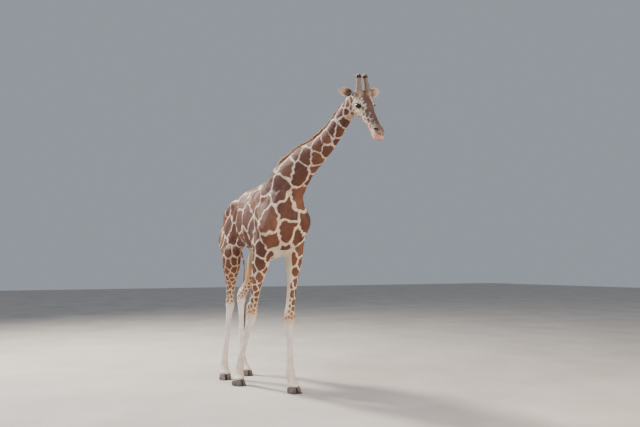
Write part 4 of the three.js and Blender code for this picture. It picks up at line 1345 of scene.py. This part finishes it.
# %% [markdown]
# ## Mane, tail, lashes and tufts
#
# Longer hair stands or hangs free, so its spikes have several rings and bend. The mane is a short
# stiff brush along the crest of the neck. The tail ends in a tassel of coarse dark hair. The
# lashes, the brush on the horns, the hair in the ears and the fringe over the hooves are dark or
# pale spikes of the same kind.

# %% Roots away from the coat
skin_tree = BVHTree.FromPolygons([tuple(p) for p in skin_points], [tuple(c) for c in corners.tolist()])


def map_place(roots):
    """The place on the skin's own map nearest to each root."""
    return np.array([corner_uv[skin_tree.find_nearest(Vector(root))[2]].mean(axis=0) for root in roots])


def hair_look(name, roughness):
    """Long keratin hair, each strand in its own shade.

    Real: coarse strands 0.2 mm thick, drawn as locks of 1 to 3 mm so that they show. To the eye
    the stiff mane is matt, the tail and lashes have a waxy shine, and every lock is uneven in
    colour over about 14 mm of its length.
    """
    material, tree, shader = new_material(name)
    own = add_node(tree, "Attribute", {}, "Color", attribute_name="hair_shade")
    where = add_node(tree, "TexCoord", {}, "Object")
    blotch = add_node(tree, "TexNoise", {"Vector": where, "Scale": PER_METRE / 14, **SOFT})
    uneven = add_node(tree, "MapRange", {0: blotch, 1: 0.3, 2: 0.7, 3: 0.82, 4: 1.18})
    colour = add_node(tree, "VectorMath", {0: own, "Scale": uneven}, operation="SCALE")
    fill(tree, shader, {"Base Color": colour, "IOR": KERATIN_IOR, "Roughness": roughness,
                        "Specular IOR Level": 0.35})
    return material


def shades(count, *hex_codes):
    """A colour for each hair, picked from the codes and made a little lighter or darker."""
    palette = np.array([linear(code)[:3] for code in hex_codes])
    return palette[rng.integers(len(palette), size=count)] * rng.uniform(0.8, 1.2, count)[:, None]


mane_material = hair_look("stiff_mane_hair", 0.55)
dark_hair_material = hair_look("coarse_dark_hair", 0.4)
pale_hair_material = hair_look("soft_pale_hair", 0.6)
print("hair materials ready")

# %% Mane
MANE_TUFTS, MANE_STATIONS, MANE_START, MANE_END = 7500, 90, 0.17, 0.985
TALL_AT, TALL = [0, 6, 20, 34, 42, 50, 60, 90], [98, 88, 60, 50, 66, 70, 52, 44]
neck_points = np.array([tuple(place(*p)) for p in NECK])


def neck_crest(shares):
    """Points on the crest of the neck, with the way along it and the way up out of it."""
    reached = reached_along(neck_points)

    def neck_at(shares):
        return np.stack([np.interp(shares, reached, neck_points[:, i]) for i in range(3)], 1)

    along = unit(neck_at(shares + 0.03) - neck_at(shares - 0.03))
    up = unit(np.array([0, 0, 1.0]) - along * along[:, 2:3])
    crest = [skin_tree.ray_cast(Vector(c + u * 0.7), -Vector(u))[0] for c, u in zip(neck_at(shares), up)]
    return np.array([tuple(p) for p in crest]), along, up


def grow_mane(count):
    crest, along, up = neck_crest(np.linspace(MANE_START, MANE_END, MANE_STATIONS))
    at = rng.uniform(0, 1, count) ** 0.95 * (len(crest) - 1.001)
    low = at.astype(int)
    part = (at - low)[:, None]
    roots = crest[low] * (1 - part) + crest[low + 1] * part
    along, up = along[low], up[low]
    side = unit(np.cross(along, up))
    off = rng.normal(scale=9 * MM, size=count)
    ends = np.minimum(smooth_step(at, -4, 6), 0.55 + 0.45 * smooth_step(-at, -90, -78))
    tall = np.interp(at, TALL_AT, TALL) * (1 + 0.15 * np.sin(1.7 * at) + 0.1 * np.sin(0.71 * at + 1.3))
    length = tall * rng.uniform(0.8, 1.15, count) * MM * ends * (1 - 0.5 * np.abs(off) / (30 * MM))
    way = unit(up + side * (off / (34 * MM))[:, None] + along * rng.normal(-0.22, 0.14, count)[:, None])
    lean = -along * rng.uniform(0.05, 0.3, count)[:, None]
    roots = roots + side * off[:, None] - up * (np.abs(off) * 0.35 + 6 * MM)[:, None]
    colours = dict(hair_shade=shades(count, "#9c6440", "#85502f", "#b57f57", "#6f4229"))
    width = rng.uniform(2.2, 3.6, count) * MM
    return grow("mane_hair", mane_material, roots, way, side, length, width, lean, LONG_SPIKE,
                map_place(roots), colours, "mane_hair")


mane = grow_mane(MANE_TUFTS)
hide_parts("mane")
print("mane", len(mane.data.polygons))

# %% Tail tassel
TAIL_END, PALE_END, TASSEL_END = place(-1190, 196, 1610), place(-1200, 200, 1400), place(-1247, 212, 500)
PALE_TAIL_CODES = ("#cdbba4", "#b59a80", "#8f745f")
TASSEL_CODES = ("#1c1513", "#2a1d18", "#37251c", "#15100f")


def tail_strands(name, top, low, count, root_spread, lengths, widths, codes):
    """A hanging bundle of strands from `top` towards `low`."""
    down = np.array(tuple((low - top).normalized()))
    whole = (low - top).length
    turn = rng.uniform(0, 2 * math.pi, count)
    out = np.stack([np.cos(turn), np.sin(turn), np.zeros(count)], 1)
    out = unit(out - down * (out @ down)[:, None])
    started = rng.uniform(*root_spread, count)
    roots = np.array(tuple(top)) + down * started[:, None] + out * rng.uniform(1, 9, count)[:, None] * MM
    way = unit(down + out * rng.uniform(0.0, 0.05, count)[:, None])
    lean = -out * rng.uniform(0.0, 0.03, count)[:, None] + rng.normal(scale=0.012, size=(count, 3))
    length = rng.uniform(*lengths, count) * whole
    colours = dict(hair_shade=shades(count, *codes))
    width = rng.uniform(*widths, count) * MM
    return grow(name, dark_hair_material, roots, way, out, length, width, lean, LONG_SPIKE,
                map_place(roots), colours, "tail_hair")


pale_tail = tail_strands("tail_pale_hair", TAIL_END, PALE_END, 700, (-0.035, 0.08), (0.6, 1.05), (1.6, 2.8),
                         PALE_TAIL_CODES)
tassel = tail_strands("tail_tassel", PALE_END, TASSEL_END, 1300, (-0.08, 0.3), (0.3, 0.8), (1.8, 3.2),
                      TASSEL_CODES)
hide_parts("tail_tuft")
print("tail hair", len(pale_tail.data.polygons), len(tassel.data.polygons))

# %% Lashes
UPPER_LASHES, LOWER_LASHES, LASH_BALL = 110, 45, 33.0


def grow_lashes(side):
    s = SIDES[side]
    count = UPPER_LASHES + LOWER_LASHES
    top = np.arange(count) < UPPER_LASHES
    turn = np.where(top, rng.uniform(0.12, 0.92, count), rng.uniform(-0.85, -0.15, count)) * math.pi
    length = ALMOND["half_length"] * np.cos(turn)
    level = np.where(top, ALMOND["upper"], ALMOND["lower"]) * np.sin(turn)
    along = length * math.cos(ALMOND["tilt"]) - level * math.sin(ALMOND["tilt"])
    up = length * math.sin(ALMOND["tilt"]) + level * math.cos(ALMOND["tilt"])
    out = np.sqrt(np.maximum(LASH_BALL ** 2 - along ** 2 - up ** 2, 60))
    turned = np.array(head_axes.to_3x3().normalized())
    roots = np.array(on_head(EYE_ON_HEAD, s)) + np.stack([along, s * out, up], 1) * MM @ turned.T
    way = unit(np.stack([along / 70, np.full(count, s * 1.0), np.where(top, 0.42, -0.55)], 1)) @ turned.T
    droop = np.where(top, rng.uniform(-0.5, -0.15, count), 0.1)[:, None] * np.array([[0.35, 0, 0.94]])
    longest = np.where(top, rng.uniform(18, 30, count), rng.uniform(7, 12, count)) * MM
    above = np.tile(np.array([0, 0, 1.0]) @ turned.T, (count, 1))
    colours = dict(hair_shade=shades(count, "#0f0c0b", "#1a1412"))
    width = rng.uniform(0.9, 1.4, count) * MM
    return grow(f"lashes_{side}", dark_hair_material, roots, way, above, longest, width, droop @ turned.T,
                LONG_SPIKE, map_place(roots), colours, "tail_hair")


lashes = [grow_lashes(side) for side in SIDES]
print("lashes", [len(piece.data.polygons) for piece in lashes])

# %% Hair of the horns
HORN_TUFTS = 4500


def grow_horn_hair(side, horn, count):
    horn.data.calc_loop_triangles()
    triangles = field_of(horn.data.loop_triangles, "vertices", 3, np.int32)
    sizes = np.array([t.area for t in horn.data.loop_triangles])
    horn_points, horn_normals = points_of(horn.data), normals_of(horn.data)
    shares = rng.dirichlet((1, 1, 1), count)[:, :, None]
    root, tip = on_head(HORN_ROOT, SIDES[side]), on_head(HORN_TIP, SIDES[side])
    axis = np.array(tuple(tip - root))
    share = (horn_points[triangles].mean(axis=1) - np.array(tuple(root))) @ axis / (axis @ axis)
    weight = sizes * (share > 0.0) * (1 + 4 * smooth_step(share, 0.8, 0.95))
    chosen = rng.choice(len(sizes), count, p=weight / weight.sum())
    normals = unit((horn_normals[triangles[chosen]] * shares).sum(axis=1))
    roots = (horn_points[triangles[chosen]] * shares).sum(axis=1) - normals * 1.2 * MM
    tuft = smooth_step(share[chosen], 0.8, 0.93)
    way = unit(unit(axis[None])[0] * (1 - 0.2 * tuft)[:, None] + normals * (0.22 + 0.3 * tuft)[:, None]
               + rng.normal(scale=0.12, size=(count, 3)))
    length = (8 + 5 * tuft) * rng.uniform(0.7, 1.2, count) * MM
    # Hairs on the very top of each horn are painted pale: a painted highlight of the low sun on the tip.
    # Below it the brush is dark brown.
    stem, cap = shades(count, "#8a7467", "#7c675a", "#a08a79"), share[chosen] > 1.0
    brush = np.where(cap[:, None], shades(count, "#b7a28d", "#94806f"), shades(count, "#3a2d28", "#57463d"))
    colours = dict(hair_shade=stem + (brush - stem) * (tuft > 0.5)[:, None])
    width = rng.uniform(1.3, 2.2, count) * MM
    return grow(f"horn_hair_{side}", dark_hair_material, roots, way, normals, length, width, normals * 0.05,
                SHORT_SPIKE, map_place(roots), colours, "ossicone_skin")


horn_hair = [grow_horn_hair(side, horn, HORN_TUFTS) for side, horn in zip(SIDES, horns)]
print("horn hair", [len(piece.data.polygons) for piece in horn_hair])

# %% Hair in the ears and over the hooves


def grow_fringe(name, weights, count, low, high, rise, width, codes):
    """Longer loose hair on the part of the skin where the weights are above zero."""
    _, _, roots, up, flow, uvs = rooted(weights, count, 0.14)
    way = unit(flow + up * rise)
    colours = dict(hair_shade=shades(count, *codes))
    length = rng.uniform(low, high, count) * MM
    widths = rng.uniform(0.7, 1.3, count) * width * MM
    return grow(name, pale_hair_material, roots - up * MM, way, up, length, widths, -up * 0.25, LONG_SPIKE,
                uvs, colours)


on_ear, ear_rim, ear_up = skin_places["ear"], skin_places["ear_rim"], skin_places["ear_up"]
RIM_CODES, OVER_HOOF_CODES = ("#e7dac4", "#dccbb0"), ("#e4d9c7", "#d9c9b0", "#cdb899")
HOLLOW_CODES = ("#4d3a31", "#9a7a64", "#d8c6ac", "#e2d3bd")
rim = on_ear * smooth_step(ear_rim, 0.55, 0.9) * (ear_up > 40)
hollow = skin_places["ear_inside"] * smooth_step(-ear_rim, -0.75, -0.3) * (ear_up < 130)
over_hoof = (skin_points[:, 2] < 0.13) * (skin_points[:, 2] > 0.03)
fringes = [
    grow_fringe("ear_rim_hair", rim, 2600, 10, 19, 0.35, 1.4, RIM_CODES),
    grow_fringe("ear_hollow_hair", hollow, 620, 12, 24, 0.6, 1.1, HOLLOW_CODES),
    grow_fringe("hoof_fringe", over_hoof, 5200, 14, 26, 0.12, 2.2, OVER_HOOF_CODES),
]
print("fringes", [len(piece.data.polygons) for piece in fringes])

# %% [markdown]
# ## Ground and light
#
# The animal stands on pale bare ground under open sky. A warm broad light comes from the front, a
# cool sky fills from above, and a low sun behind gives the pale rim along the neck and the back.

# %% Floor and lights
FLOOR_HALF, LIT_PLACE, SKY_STRENGTH = 40, Vector((0.2, 0, 2.2)), 0.62

floor_form = bmesh.new()
bmesh.ops.create_grid(floor_form, x_segments=1, y_segments=1, size=FLOOR_HALF)
floor = new_piece("pale_ground", mesh_from(floor_form, "pale_ground"))
floor.data.materials.append(ground_material)


def soft_light(name, at, size, watts, colour):
    data = bpy.data.lights.new(name, "AREA")
    data.shape = "DISK"
    data.size = size
    data.energy = watts
    data.color = linear(colour)[:3]
    light = bpy.data.objects.new(name, data)
    bpy.context.scene.collection.objects.link(light)
    light.location = at
    light.rotation_euler = (LIT_PLACE - light.location).to_track_quat("-Z", "Y").to_euler()


soft_light("warm_front_light", (7.5, 3.0, 4.2), 4.0, 640, "#ffe9cf")
soft_light("sky_light", (0.5, -6.5, 8.0), 6.0, 620, "#dfe8ff")
soft_light("rim_sun", (-7.0, -3.5, 8.5), 1.6, 2400, "#fff6e6")
world = bpy.data.worlds.new("open_sky")
bpy.context.scene.world = world
world.use_nodes = True
sky = world.node_tree.nodes["Background"]
fill(world.node_tree, sky, {"Color": linear("#bcc4cf"), "Strength": SKY_STRENGTH})
